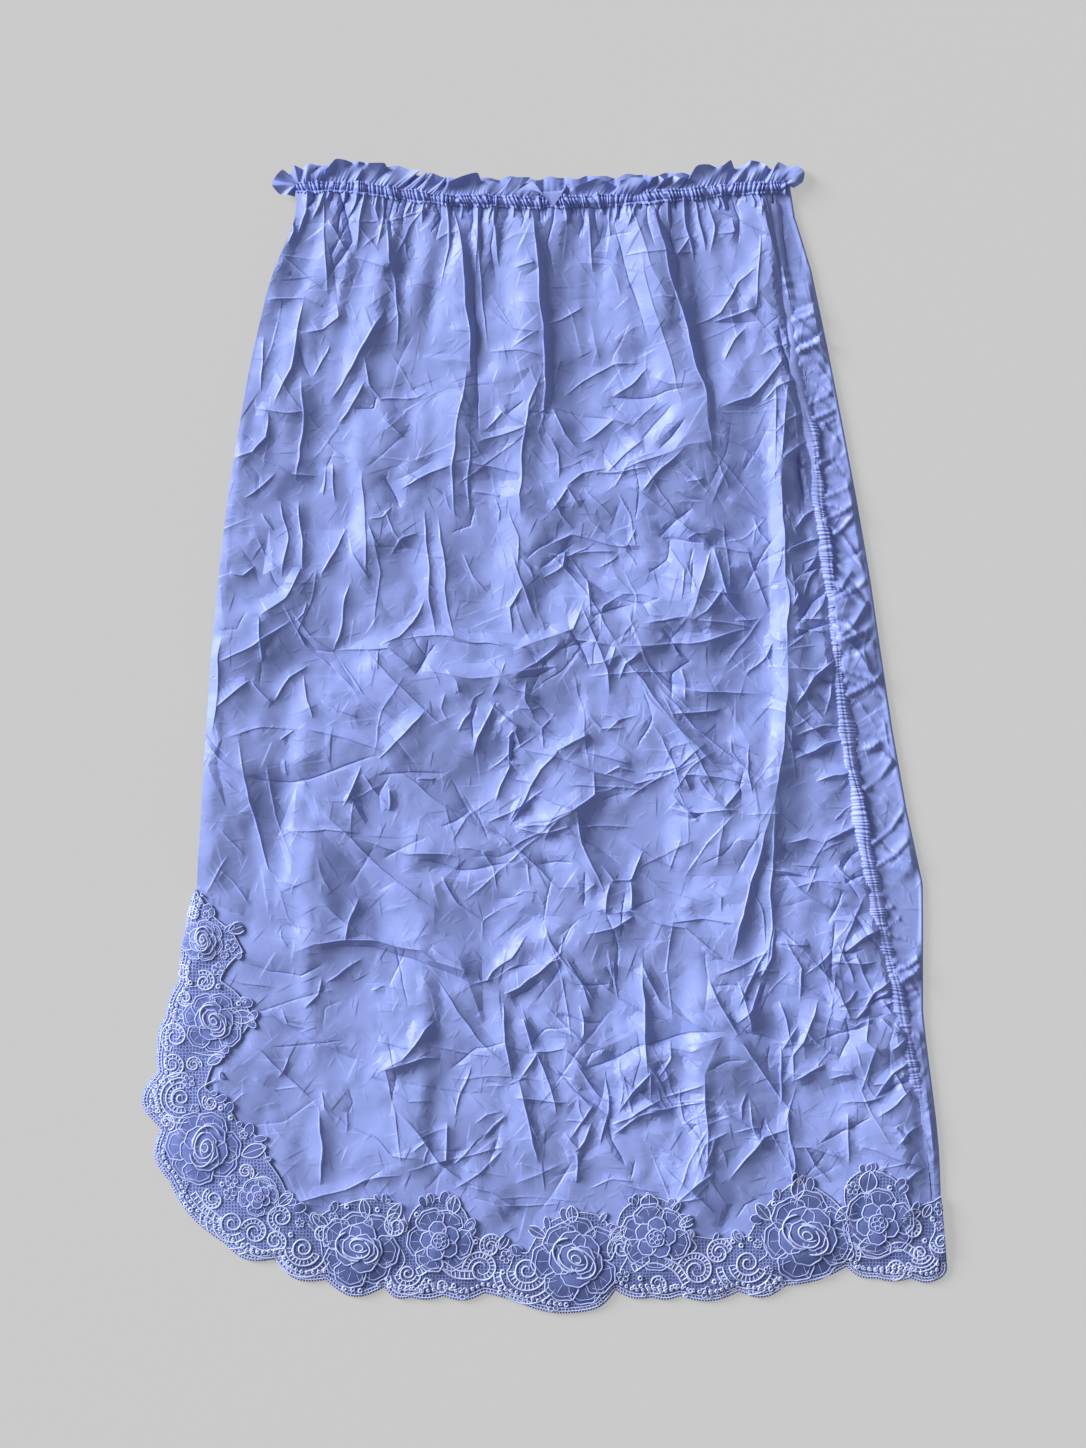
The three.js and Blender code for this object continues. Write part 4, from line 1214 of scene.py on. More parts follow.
def taffeta_material(name, hex_colour, crinkle=1.0):
    """Woven filament cloth, pressed but not coated: a soft gloss that breaks along small sharp creases."""
    material, shader = new_material(name, hex_colour, 0.42)
    shader.inputs["Specular IOR Level"].default_value = 0.22
    shader.inputs["Sheen Weight"].default_value = 0.2
    shader.inputs["Sheen Roughness"].default_value = 0.4
    shader.inputs["Sheen Tint"].default_value = linear("#dfe6ff")
    metres = add(material, "TexCoord").outputs["Object"]
    uneven_dye_and_painted_light(material, shader, hex_colour, 60, 3.0, 0.93, 1.07)
    bump = None
    for size, depth, lit, dark in ((29, 0.5, 6.0, 1.3), (17, 0.35, 1.0, 4.0), (10, 0.2, 2.4, 0.8)):
        shifted = add(material, "VectorMath", {"operation": "ADD"}, in0=metres, in1=(size, depth, 0))
        bump = short_creases(material, shifted, size, depth * crinkle, lit, dark, bump)
    weave_scale = 1 / (WEAVE_SHOWN * MM) / WAVES_PER_UNIT
    warp = add(material, "TexWave", {"bands_direction": "X"}, Vector=metres, Scale=weave_scale)
    weft = add(material, "TexWave", {"bands_direction": "Y"}, Vector=metres, Scale=weave_scale)
    weave = add(material, "Math", {"operation": "MAXIMUM"}, in0=warp.outputs["Fac"],
                in1=weft.outputs["Fac"])
    weave_bump = add(material, "Bump", Strength=0.15, Distance=0.05 * MM, Height=weave, Normal=bump)
    connect(weave_bump, shader, "Normal")
    return material


taffeta = taffeta_material("periwinkle_taffeta", "#8f9ede")

# %% [markdown]
# ## The front's mesh
# Now the front has its points, its heights and its cloth, and becomes a mesh.  Where two facets meet at
# more than a few degrees the edge between them is marked sharp, so that a crease catches the light as a
# thin line; everywhere else the cloth stays smooth.

# %% The front cloth's mesh
CREASE_ANGLE = 11

front_points = np.column_stack([front_xy, front_z])
front_cloth = place(mesh_from("front_cloth", front_points, front_triangles), taffeta)
front_cloth.data.set_sharp_from_angle(angle=math.radians(CREASE_ANGLE))
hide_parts("front_panel")

# %% [markdown]
# ## The back
# The back is one sheet as well.  Seen from above only its right part shows, from the side seam to the
# turned edge; there it goes round and runs flat underneath, where the skirt rests.  Each row of the grid
# follows that path: over the flap, round the edge and back to the left.

# %% Back cloth
TURN_RADIUS = 1.5
FLAP_LEVEL = 3.0
REST_LEVEL = 0.0  # the underside touches the surface here
RUMPLE = 1.2  # the flap's rumples are this much stronger than the front's


def back_grid(rows, flap_columns, turn_columns, under_columns):
    """Rows of points from the seam over the flap, round the right edge and flat to the left edge."""
    y = np.linspace(waist_line(165) + 2.5, -356, rows)[:, None]
    seam, edge = seam_edge(y) + 0.4, right_edge(y) - TURN_RADIUS
    edge = edge - 3.5 * ramp(y, 350, 372)  # the elastic draws its upper corner in
    share = np.linspace(0, 1, flap_columns)[None, :]
    flap_x = seam + (edge - seam) * share
    flap_y = np.repeat(y, flap_columns, axis=1)
    rise = np.zeros_like(flap_x)
    for rows_of_creases in (CREASES, small_rows, flap_rows):
        rise = add_creases(rise, flap_x, flap_y, rows_of_creases)
    rise += 1.0 + RUMPLE * crumple(flap_x, flap_y)
    pull = np.exp(-(flap_x - seam) / 10)
    rise += 0.9 * pull * np.sin(2 * math.pi * flap_y / 9 + 2 * smooth_noise(flap_x, flap_y, 30, 3))
    held = np.clip(0.5 + (flap_x - seam) / 9, 0, 1) * np.clip((edge - flap_x) / 3, 0, 1)
    held = held * np.clip((edge - seam) / 22, 0.15, 1)
    flap_z = FLAP_LEVEL - 1.2 + np.logaddexp(0, 1.4 * (1.2 + rise * held)) / 1.4
    angle = np.linspace(math.pi / 2, -math.pi / 2, turn_columns + 2)[None, 1:-1]
    turn_x = edge + TURN_RADIUS * np.cos(angle)
    turn_z = TURN_RADIUS + TURN_RADIUS * np.sin(angle) + 0 * y
    left = left_edge(y) + 1.0
    under_x = edge + (left - edge) * np.linspace(0, 1, under_columns)[None, :]
    under_y = np.repeat(y, under_columns, axis=1)
    lifted = smooth_noise(under_x, under_y, 22, 81) + 0.25 * smooth_noise(under_x, under_y, 9, 82)
    lifted = np.clip(lifted, 0, 1)
    x = np.hstack([flap_x, turn_x, under_x])
    z = np.hstack([flap_z, turn_z, REST_LEVEL + 0.9 * lifted])
    return np.dstack([x, np.repeat(y, x.shape[1], axis=1), z])


back_cloth = place(sheet_object("back_cloth", back_grid(540, 56, 6, 40)), taffeta)
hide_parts("back_panel")

# %% [markdown]
# ## The galloon of lace
# A galloon is a lace band with two shaped edges.  This one is a fine net, worked over with a raised
# cord: roses, fans with ladders of small bars, curls and waves, each about 50 mm across.  The net comes
# first.  Its holes are about a millimetre wide, far too many to cut out of a mesh, so it is a closed
# sheet whose material is dark in the holes and pale along the threads.

# %% Lace ground
LACE_ABOVE_CLOTH = 1.0
LACE_ROWS = 30
FREE_EDGE_HEIGHT = 1.7  # the free edge lies this far above the surface


def lace_ground_grid(above, start=0.0):
    """The net between both edges, lying on the folds of the cloth and flat at its free edge."""
    share = np.linspace(start, 1, LACE_ROWS)[None, :, None]
    xy = sewn_edge[:, None] * (1 - share) + free_edge[:, None] * share
    x, y = xy[..., 0], xy[..., 1]
    rise = front_height(x, y) + above
    rise += 0.35 * smooth_noise(x, y, 16, 91) + 0.25 * smooth_noise(x, y, 7, 92)
    edge = np.clip((share[..., 0] - 0.72) / 0.28, 0, 1)
    return np.dstack([x, y, rise + (FREE_EDGE_HEIGHT - rise) * edge])


def turned_edge(grid, drop, inward):
    """Adds a row all round that turns down, so that the lace's edge shows its thickness."""
    rim = np.pad(grid, ((1, 1), (1, 1), (0, 0)), mode="edge")
    middle = grid.reshape(-1, 3).mean(axis=0)
    ring = np.ones(rim.shape[:2], bool)
    ring[1:-1, 1:-1] = False
    toward = np.sign(middle[:2] - rim[ring][:, :2])
    rim[ring] += np.column_stack([toward * inward, np.full(ring.sum(), -drop)])
    return rim


# %% [markdown]
# ## Net, cord and stitches
# The lace is worked in three ways: a fine bobbin net, a rayon cord laid on it, and areas filled with
# close stitches.  They differ in gloss and in the direction of their threads, so each has its own
# material.

# %% Materials of the lace
def painted_light_on_left(material, metres, amount):
    """Painted light: how much brighter the lace is painted on the left, where only the bright surface lies
    under it.
    """
    parts = add(material, "SeparateXYZ", Vector=metres)
    return add(material, "MapRange", Value=parts.outputs["X"], From_Min=-215 * MM,
               From_Max=-165 * MM, To_Min=amount, To_Max=1.0)


def net_material():
    """Bobbin net of fine polyester.  Between its pale threads the shadow underneath shows through."""
    hole = 1.1  # mm between threads of the net
    hole_shown = 2 * hole  # drawn twice as coarse, so that it shows
    material, shader = new_material("slate_bobbin_net", "#7c88bd", 0.75)
    shader.inputs["Specular IOR Level"].default_value = 0.2
    metres = add(material, "TexCoord").outputs["Object"]
    cells = {"feature": "DISTANCE_TO_EDGE", "voronoi_dimensions": "2D"}
    mesh_cells = add(material, "TexVoronoi", cells, Vector=metres, Scale=1 / (hole_shown * MM),
                     Randomness=0.45)
    thread = add(material, "MapRange", Value=mesh_cells.outputs["Distance"], From_Min=0.05,
                 From_Max=0.25, To_Min=1.0, To_Max=0.0)
    colour = add(material, "Mix", {"data_type": "RGBA"}, Factor=thread)
    colour.inputs[6].default_value = linear("#4a568e")
    colour.inputs[7].default_value = linear("#8693ca")
    # painted light: the net is painted up to 1.3 times brighter towards the left
    through = painted_light_on_left(material, metres, 1.3)
    lit = add(material, "HueSaturation", Color=colour.outputs[2], Value=through)
    connect(lit, shader, "Base Color")
    bump = add(material, "Bump", Strength=0.5, Distance=0.25 * MM, Height=thread)
    connect(bump, shader, "Normal")
    return material


def cord_material(name, hex_colour):
    """Rayon cord: a soft shine along twisted strands."""
    strand = 0.5  # mm between the turns of its twist
    material, shader = new_material(name, hex_colour, 0.5)
    shader.inputs["Specular IOR Level"].default_value = 0.4
    shader.inputs["Sheen Weight"].default_value = 0.2
    metres = add(material, "TexCoord").outputs["Object"]
    twist = add(material, "TexWave", {"bands_direction": "DIAGONAL"}, Vector=metres,
                Scale=1 / (strand * MM) / WAVES_PER_UNIT, Distortion=2.0)
    uneven_dye_and_painted_light(material, shader, hex_colour, 6, 2.0, 0.85, 1.12)
    bump = add(material, "Bump", Strength=0.3, Distance=0.1 * MM, Height=twist.outputs["Fac"])
    connect(bump, shader, "Normal")
    return material


def stitched_material(name, hex_colour, pitch, roughness):
    """Areas filled with close parallel stitches, a little shiny along them."""
    material, shader = new_material(name, hex_colour, roughness)
    shader.inputs["Specular IOR Level"].default_value = 0.35
    metres = add(material, "TexCoord").outputs["Object"]
    stitches = add(material, "TexWave", {"bands_direction": "DIAGONAL"}, Vector=metres,
                   Scale=1 / (pitch * MM) / WAVES_PER_UNIT, Distortion=1.5)
    # Painted light: the worked areas are painted up to 1.5 times brighter towards the left.
    uneven_dye_and_painted_light(material, shader, hex_colour, 5, 2.0, 0.85, 1.15, painted_light_on_left(material, metres, 1.5))
    bump = add(material, "Bump", Strength=0.4, Distance=0.15 * MM, Height=stitches.outputs["Fac"])
    connect(bump, shader, "Normal")
    return material


net = net_material()
cord = cord_material("pale_rayon_cord", "#c6d1fb")
rose_cord = cord_material("blue_rayon_cord", "#b2bef2")
lace_grid = lace_ground_grid(LACE_ABOVE_CLOTH)
lace_ground = place(sheet_object("lace_front_net", turned_edge(lace_grid, 0.8, 0.2)), net)
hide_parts("hem_lace_front")

# %% [markdown]
# ## Cords on the lace
# A stroke is a line of points with a width and a height, like one pass of the cording thread.  Motifs
# only make lists of strokes.  At the end all strokes are dropped on the net and become raised cords.

# %% Strokes to cords
CORD_WIDTH = 1.35
CORD_HEIGHT = 0.9
STROKE_STEP = 1.5  # mm between the points of a stroke
CORD_SECTION = np.array([(-0.5, -0.2), (-0.34, 0.7), (0.0, 1.0), (0.34, 0.7), (0.5, -0.2)])
ABOVE_ALL = 60  # strokes are dropped from this height
BARE_LEVEL = 2.6  # height of a worked area where no net lies below it


def ground_tree(grid):
    """The net, ready to have strokes dropped on it."""
    points = [Vector(p) for p in grid.reshape(-1, 3)]
    return BVHTree.FromPolygons(points, grid_quads(*grid.shape[:2]).reshape(-1, 4).tolist())


def evenly(line, step=STROKE_STEP):
    """A smooth curve through the points of a line, with even steps."""
    line = np.asarray(line, float)
    if len(line) > 2:
        padded = np.vstack([2 * line[0] - line[1], line, 2 * line[-1] - line[-2]])
        t = np.linspace(0, 1, 6, endpoint=False)[:, None]
        parts = []
        for p0, p1, p2, p3 in zip(padded, padded[1:], padded[2:], padded[3:]):
            parts.append(0.5 * (2 * p1 + (p2 - p0) * t + (2 * p0 - 5 * p1 + 4 * p2 - p3) * t**2
                                + (3 * p1 - p0 - 3 * p2 + p3) * t**3))
        line = np.vstack(parts + [line[-1:]])
    return even_steps(line, step)


def cords_object(name, strokes, tree):
    """One mesh of all the strokes, each a low half-round cord on the ground below it."""
    all_points, all_quads, start = [], [], 0
    corners = len(CORD_SECTION)
    for line, width, height, level in strokes:
        z = []
        for x, y in line:
            found = drop(tree, x, y, ABOVE_ALL)
            if found is None:
                found = z[-1] if z else FRONT_LEVEL
            z.append(found)
        across = to_the_left(line)
        taper = np.ones(len(line))
        taper[[0, -1]] = 0.55
        offset = CORD_SECTION[None, :, 0] * width * taper[:, None]
        x = line[:, None, 0] + across[:, None, 0] * offset
        y = line[:, None, 1] + across[:, None, 1] * offset
        up = level + np.array(z)[:, None] + CORD_SECTION[None, :, 1] * height * taper[:, None]
        all_points.append(np.dstack([x, y, up]).reshape(-1, 3))
        all_quads.append(grid_quads(len(line), corners, wrap=True).reshape(-1, 4) + start)
        start += len(line) * corners
    return mesh_from(name, np.vstack(all_points), np.vstack(all_quads))


def patches_object(name, patches, tree):
    """One mesh of all the worked areas, each a low dome over the ground inside its outline."""
    all_points, all_quads, start = [], [], 0
    for line, level, dome in patches:
        middle = line.mean(axis=0)
        rings = np.array([middle + (line - middle) * scale for scale in (1.0, 0.93, 0.7, 0.4, 0.03)])
        rise = np.array([-0.5, 0.45, 0.8, 1.0, 1.05])[:, None] * dome + level
        found = [drop(tree, x, y, ABOVE_ALL) for x, y in rings.reshape(-1, 2)]
        z = np.array([BARE_LEVEL if f is None else f for f in found]).reshape(rings.shape[:2]) + rise
        all_points.append(np.dstack([rings, z]).reshape(-1, 3))
        all_quads.append(grid_quads(*rings.shape[:2], wrap=True).reshape(-1, 4) + start)
        start += rings.shape[0] * rings.shape[1]
    return mesh_from(name, np.vstack(all_points), np.vstack(all_quads))


# %% [markdown]
# ## Motifs
# A lace designer repeats a few motifs: a full rose, a smaller one, leaves, fans, scrolls, waves and small
# rings.  Each is a function here that draws itself from arcs at any place, size and turn.  Petals are
# worked areas with a cord round them, so each motif gives strokes and adds its areas to two lists.

# %% Motifs of the lace
WAVE_GAP = 5.2  # mm between the two cords of a wave


def arc(cx, cy, rx, ry, start, end, turn=0.0, wobble=0.0, waves=5):
    """Points of an arc, in degrees, which may be turned and given a wavy rim."""
    angle = np.radians(np.linspace(start, end, 24))
    swell = 1 + wobble * np.sin(waves * angle)
    x, y = rx * swell * np.cos(angle), ry * swell * np.sin(angle)
    c, s = math.cos(math.radians(turn)), math.sin(math.radians(turn))
    return np.stack([cx + c * x - s * y, cy + s * x + c * y], axis=-1)


def around(x, y, radius, angle):
    """The point at an angle in radians and at a radius from (x, y)."""
    return x + radius * math.cos(angle), y + radius * math.sin(angle)


def stroke(line, width=CORD_WIDTH, height=CORD_HEIGHT, level=0.0):
    """A line that is worked over with cord, `level` above the net."""
    return (evenly(line), width, height, level)


net_patches = []  # areas worked in close net: the outer petals and leaves
satin_patches = []  # areas worked in smooth satin stitch: the inner petals and buds
heart_strokes = []  # pale cords in the hearts of the roses


def petal(cx, cy, middle, near, far, width, level, patches, veins=3, rim=1.2):
    """One petal that points away from (cx, cy): a worked area with a cord round it."""
    a = math.radians(middle)
    px, py = around(cx, cy, 0.5 * (near + far), a)
    line = arc(px, py, 0.5 * (far - near), 0.5 * width, -180, 165, middle, 0.05, 7)
    patches.append((line, level, 0.45))
    out = [stroke(arc(px, py, 0.5 * (far - near), 0.5 * width, -150, 150, middle, 0.05, 7), rim, 0.75, level)]
    if veins:
        vein = arc(px, py, 0.36 * (far - near), 0.38 * width, -95, 95, middle, 0.04, 6)
        out.append(stroke(vein, 0.7, 0.5, level + 0.25))
    for d in np.linspace(-0.5, 0.5, veins) if veins else ():
        b, e = a + 0.6 * d * width / far, a + d * width / far
        start, end = near + 0.42 * (far - near), near + 0.80 * (far - near)
        out.append(stroke([around(cx, cy, start, b), around(cx, cy, end, e)], 0.5, 0.35, level + 0.35))
    return out


# %% [markdown]
# ## Two roses
# The full rose is half open: seven petals of net, five of satin stitch and two that cup the bud, whose
# coils are the palest cords.  The smaller rose is wide open and faces the viewer.

# %% Roses
def rose(cx, cy, radius, turn, seed):
    """A full rose: net petals outside, satin petals cupped round a coiled bud."""
    random = np.random.default_rng(seed)
    r = radius
    out = []
    for k in range(7):
        middle = turn + 360 * (k + 0.22 * random.uniform(-1, 1)) / 7
        out += petal(cx, cy, middle, 0.34 * r, random.uniform(0.92, 1.03) * r, 0.80 * r,
                     0.1 + 0.3 * (k % 2), net_patches)
    lean = math.radians(turn)
    bx, by = around(cx, cy, 0.06 * r, lean)
    for k in range(5):
        middle = turn + 36 + 360 * (k + 0.2 * random.uniform(-1, 1)) / 5
        out += petal(bx, by, middle, 0.10 * r, random.uniform(0.58, 0.68) * r, 0.66 * r, 0.9 + 0.25 * (k % 2),
                     satin_patches, 0)
    for side, level in ((1, 1.7), (-1, 1.9)):
        px, py = bx - 0.10 * r * side * math.sin(lean), by + 0.10 * r * side * math.cos(lean)
        out += petal(px, py, turn + 90 * side, -0.22 * r, 0.30 * r, 0.62 * r, level, satin_patches, 0)
    satin_patches.append((arc(bx, by, 0.15 * r, 0.24 * r, -180, 165, turn - 20), 2.4, 0.5))
    for size, start, end, shift, level in ((0.08, -170, 150, 0.0, 2.6), (0.16, -20, 250, 0.05, 2.4),
                                           (0.24, 100, 330, 0.07, 2.2), (0.31, -160, 40, 0.09, 2.0),
                                           (0.37, 40, 190, 0.06, 2.0)):
        x, y = around(bx, by, shift * r, lean + math.radians(start))
        coil = arc(x, y, size * r, 1.45 * size * r, start, end, turn - 20)
        heart_strokes.append(stroke(coil, 1.25, 0.9, level))
    return out


def daisy_rose(cx, cy, radius, turn, seed):
    """A smaller rose, wide open: five eyes in a rolled collar, and net petals outside."""
    random = np.random.default_rng(seed)
    out = []
    for k in range(6):
        middle = turn + 30 + 60 * (k + 0.15 * random.uniform(-1, 1))
        out += petal(cx, cy, middle, 0.38 * radius, radius * random.uniform(0.92, 1.02), 0.86 * radius,
                     0.1 + 0.3 * (k % 2), net_patches)
    for k in range(5):
        out += petal(cx, cy, turn + 72 * k, 0.08 * radius, 0.58 * radius, 0.50 * radius, 0.9 + 0.2 * (k % 2),
                     satin_patches, 0)
    satin_patches.append((arc(cx, cy, 0.26 * radius, 0.26 * radius, -180, 165), 1.5, 0.5))
    out.append(stroke(arc(cx, cy, 0.26 * radius, 0.25 * radius, 0, 350, turn, 0.06, 5), 1.1, 0.8, 1.6))
    for k in range(5):
        x, y = around(cx, cy, 0.13 * radius, math.radians(turn + 72 * k))
        out.append(stroke(arc(x, y, 0.07 * radius, 0.07 * radius, 0, 350), 0.8, 0.6, 2.0))
    return out


# %% [markdown]
# ## Fans, scrolls, waves and leaves
# These are bands between two cords, filled with small bars.  The bars are what makes it look like lace,
# so one function draws them for all.

# %% Fans, scrolls, waves and leaves
def ladder(inner, outer, pitch, width):
    """Small bars between two lines."""
    length = np.hypot(*np.diff(outer, axis=0).T).sum()
    shares = np.linspace(0, 1, max(2, int(length / pitch)))
    ends = zip(along(inner, shares), along(outer, shares))
    return [(np.linspace(a, b, 3), width, 0.6, 0.0) for a, b in ends]


def fan(cx, cy, radius, start, end):
    """A shell of rings with ladders of bars between them, round a small coil."""
    out = []
    rings = [arc(cx, cy, radius * f, radius * f, start, end) for f in (1.0, 0.80, 0.60, 0.38)]
    out += [stroke(line) for line in rings]
    out += ladder(evenly(rings[1]), evenly(rings[0]), 3.2, 1.3)
    out += ladder(evenly(rings[3]), evenly(rings[2]), 2.8, 1.1)
    angle = np.linspace(0, 3.2 * math.pi, 30)
    coil = radius * (0.06 + 0.03 * angle)
    out.append(stroke(np.stack([cx + coil * np.cos(angle), cy + coil * np.sin(angle)], axis=-1)))
    return out


def curl(cx, cy, radius, turn, hand=1):
    """A scroll: a coiled band with bars across it."""
    angle = np.linspace(0.2, 2.9 * math.pi, 44)
    outer_r = radius * (0.22 + 0.78 * angle / angle[-1])
    inner_r = outer_r - radius * 0.30
    direction = math.radians(turn) + hand * angle
    outer = np.stack([cx + outer_r * np.cos(direction), cy + outer_r * np.sin(direction)], axis=-1)
    inner = np.stack([cx + inner_r * np.cos(direction), cy + inner_r * np.sin(direction)], axis=-1)
    half = len(angle) // 2
    return ([stroke(outer), stroke(inner[half - 8:], 0.9, 0.6)]
            + ladder(evenly(inner[half:]), evenly(outer[half:]), 2.8, 1.1))


def beside(line, distance):
    """The line moved to its left."""
    return line + distance * to_the_left(line)


def wave(*points):
    """Two cords side by side that swing along the hem, with bars between them."""
    line = evenly(points, 2.0)
    other = beside(line, WAVE_GAP)
    return [stroke(line), stroke(other)] + ladder(line, other, 3.0, 1.3)


def leaf(x, y, length, width, turn):
    """A pointed leaf with a midrib."""
    t = np.linspace(0, 1, 12)
    side = width / 2 * np.sin(math.pi * t) ** 0.8
    c, s = math.cos(math.radians(turn)), math.sin(math.radians(turn))
    rims = []
    for sign in (1, -1, 0):
        u, v = length * t, sign * side
        rims.append(np.stack([x + c * u - s * v, y + s * u + c * v], axis=-1))
    net_patches.append((np.vstack([rims[0][:-1], rims[1][:0:-1]]), 0.1, 0.4))
    return [stroke(rims[0], 1.1, 0.75, 0.1), stroke(rims[1], 1.1, 0.75, 0.1), stroke(rims[2], 0.6, 0.4, 0.4)]


def eyelets(points, size):
    """Small closed rings, worked so thick that they look like beads."""
    return [(evenly(arc(x, y, size, size, 0, 360), 1.0), 1.4, 1.1, 0.2) for x, y in points]


# %% [markdown]
# ## Where the motifs lie
# The roses come first, and the other motifs lead the eye from one to the next.
# Small rings, scrolls and flowers fill what is left, drawn at random from large to small wherever there
# is room, as a designer fills a ground.

# %% Layout of the lace
# centre x, centre y, size and turn of each, or the points of its line, in millimetres and degrees
ROSES = [(-232, -138, 15, 25), (-224, -194, 21, 60), (-231, -279, 26, 10), (-125, -348, 27, 100),
         (22, -356, 30, 80), (179, -340, 31, 85)]
SMALL_ROSES = [(-70, -342, 23, 30), (76, -340, 24, 10), (227, -330, 25, 50), (-193, -312, 14, 40)]
FANS = [(-246, -245, 17, 75, 290), (-211, -330, 22, 150, 310), (-163, -347, 20, 180, 335),
        (-92, -364, 15, 190, 345), (-11, -362, 23, 185, 330), (139, -357, 22, 190, 335),
        (256, -350, 13, 220, 340)]
CURLS = [(-250, -203, 11, 90, 1), (-252, -222, 9, 60, -1), (-196, -336, 10, 0, 1), (-182, -342, 9, 40, -1),
         (-42, -361, 13, 20, 1), (-36, -346, 9, 200, -1), (104, -362, 13, 0, 1), (119, -350, 10, 180, -1),
         (-178, -326, 10, 100, 1), (-100, -332, 9, 240, -1), (53, -347, 10, 60, 1), (-245, -160, 7, 90, 1),
         (207, -350, 9, 120, -1), (250, -334, 9, 30, 1), (-150, -338, 8, 80, -1), (-238, -120, 6, 70, 1)]
WAVES = [[(-84, -366), (-72, -360), (-60, -367), (-47, -368)],
         [(62, -363), (74, -357), (88, -362), (95, -372)],
         [(212, -352), (228, -354), (242, -348), (256, -356)], [(206, -340), (214, -347), (226, -350)],
         [(-200, -350), (-190, -354), (-175, -352)], [(-240, -312), (-232, -322), (-222, -330)]]
LEAVES = [(-214, -132, 14, 8, 20), (-213, -190, 17, 9, 0), (-212, -236, 12, 6, 130),
          (-205, -284, 18, 9, 20), (-196, -300, 16, 8, -20), (-105, -330, 16, 8, 60),
          (-120, -327, 14, 7, 100), (-146, -333, 14, 7, 140),
          (-62, -324, 13, 9, 80), (20, -330, 12, 8, 95), (2, -340, 15, 7, 150), (45, -342, 15, 7, 40),
          (72, -322, 12, 12, 90), (92, -332, 14, 7, 30), (172, -314, 15, 9, 85), (154, -328, 15, 8, 130),
          (198, -328, 15, 8, 40), (219, -310, 16, 12, 80), (244, -326, 13, 7, 20), (207, -352, 12, 6, 200),
          (-30, -348, 12, 6, 60), (258, -326, 10, 6, 60), (-228, -222, 12, 6, 30), (-180, -318, 13, 7, 40)]
LINKS = [[(-226, -160), (-232, -168), (-243, -170)], [(-215, -212), (-226, -216), (-238, -214)],
         [(-222, -232), (-234, -240), (-232, -252)], [(-193, -296), (-204, -306), (-214, -302)],
         [(-160, -330), (-152, -340), (-150, -352)], [(-98, -345), (-94, -355), (-100, -365)],
         [(-49, -338), (-54, -350), (-48, -356)], [(-20, -352), (-24, -362), (-30, -366)],
         [(52, -345), (57, -352), (52, -362)], [(98, -338), (104, -346), (98, -352)],
         [(124, -340), (128, -347), (122, -352)], [(148, -338), (152, -350), (146, -356)],
         [(206, -326), (210, -334), (204, -340)], [(250, -322), (247, -332), (252, -338)],
         [(262, -322), (266, -334), (262, -345), (267, -356)]]

rose_strokes = []
for at, motif in enumerate(ROSES):
    rose_strokes += rose(*motif, seed=100 + at)
for at, motif in enumerate(SMALL_ROSES):
    rose_strokes += daisy_rose(*motif, seed=120 + at)
scroll_strokes = list(heart_strokes)
for draw, motifs in ((fan, FANS), (curl, CURLS), (wave, WAVES), (leaf, LEAVES)):
    for motif in motifs:
        scroll_strokes += draw(*motif)
for motif in LINKS:
    scroll_strokes.append(stroke(motif, 0.9, 0.6))
scroll_strokes += eyelets([(-264 + 0.7 * k, -241 - 3.2 * k) for k in range(5)], 1.2)
scroll_strokes += eyelets([(-97 + 4.4 * k, -373.5 - 1.2 * math.sin(k)) for k in range(9)], 1.1)
scroll_strokes += eyelets([(62 + 4.2 * k, -373.5 + 0.8 * math.sin(k)) for k in range(9)], 1.1)
scroll_strokes += eyelets([(213 + 4.2 * k, -361 + 0.9 * math.cos(k)) for k in range(10)], 1.1)

# %% [markdown]
# ## Filling the ground
# Places are drawn at random and kept where there is room, first for large fillings and then for smaller
# ones, so the ground fills up without any two of them touching.

# %% Fillings
galloon_outline = np.vstack([sewn_edge, free_edge[::-1]])


def filler(taken, seed, tries):
    """Small rings, curls and flowers in the places that the larger motifs leave free."""
    random = np.random.default_rng(seed)
    out = []
    spots = np.column_stack([random.uniform(-268, 272, tries), random.uniform(-392, -104, tries)])
    spots = spots[inside(spots[:, 0], spots[:, 1], galloon_outline)]
    from_edge = np.minimum(distance_to(spots[:, 0], spots[:, 1], free_edge[::2]),
                           distance_to(spots[:, 0], spots[:, 1], sewn_edge[::2]))
    for size in (8.0, 6.0, 4.5, 3.2, 2.2):
        for (x, y), room in zip(spots, from_edge):
            if room < size * 0.85 + 1.2:
                continue
            if any(math.hypot(x - cx, y - cy) < size * 0.95 + r * 0.93 for cx, cy, r in taken):
                continue
            taken.append((x, y, size))
            turn = random.uniform(0, 360)
            if size > 5:
                out += curl(x, y, size, turn, random.choice([1, -1]))
            elif size > 3:
                for k in range(5):
                    out += petal(x, y, turn + 72 * k, 0.1 * size, size, 0.75 * size, 0.1, net_patches, 0, 0.8)
            else:
                out += eyelets([(x, y)], size * 0.6)
    return out


def sector(cx, cy, radius, start, end):
    """Circles that cover a fan, so that the filler keeps off it."""
    middle = math.radians(0.5 * (start + end))
    return [(cx, cy, 0.5 * radius), (*around(cx, cy, 0.5 * radius, middle), 0.6 * radius)]


taken_spots = [motif[:3] for motif in ROSES + SMALL_ROSES + CURLS]
for motif in FANS:
    taken_spots += sector(*motif)
for motif in WAVES:
    taken_spots += [(x, y, 3.5) for x, y in evenly(motif, 4.0)]
for x, y, length, _, turn in LEAVES:
    taken_spots.append((*around(x, y, 0.5 * length, math.radians(turn)), 0.45 * length))
scroll_strokes += filler(taken_spots, 17, 5200)


# %% [markdown]
# ## Cutting to the galloon
# What stands out past the lace is cut off, except along the sewn edge, where small lobes and petals lie
# on the cloth and hide the straight join.

# %% Cut to the galloon
def on_lace(points):
    """Whether points lie in the galloon, or over its sewn edge and on the cloth."""
    x, y = points[:, 0], points[:, 1]
    return inside(x, y, galloon_outline) | ((distance_to(x, y, sewn_edge[::2]) < 8) & inside(x, y, outline))


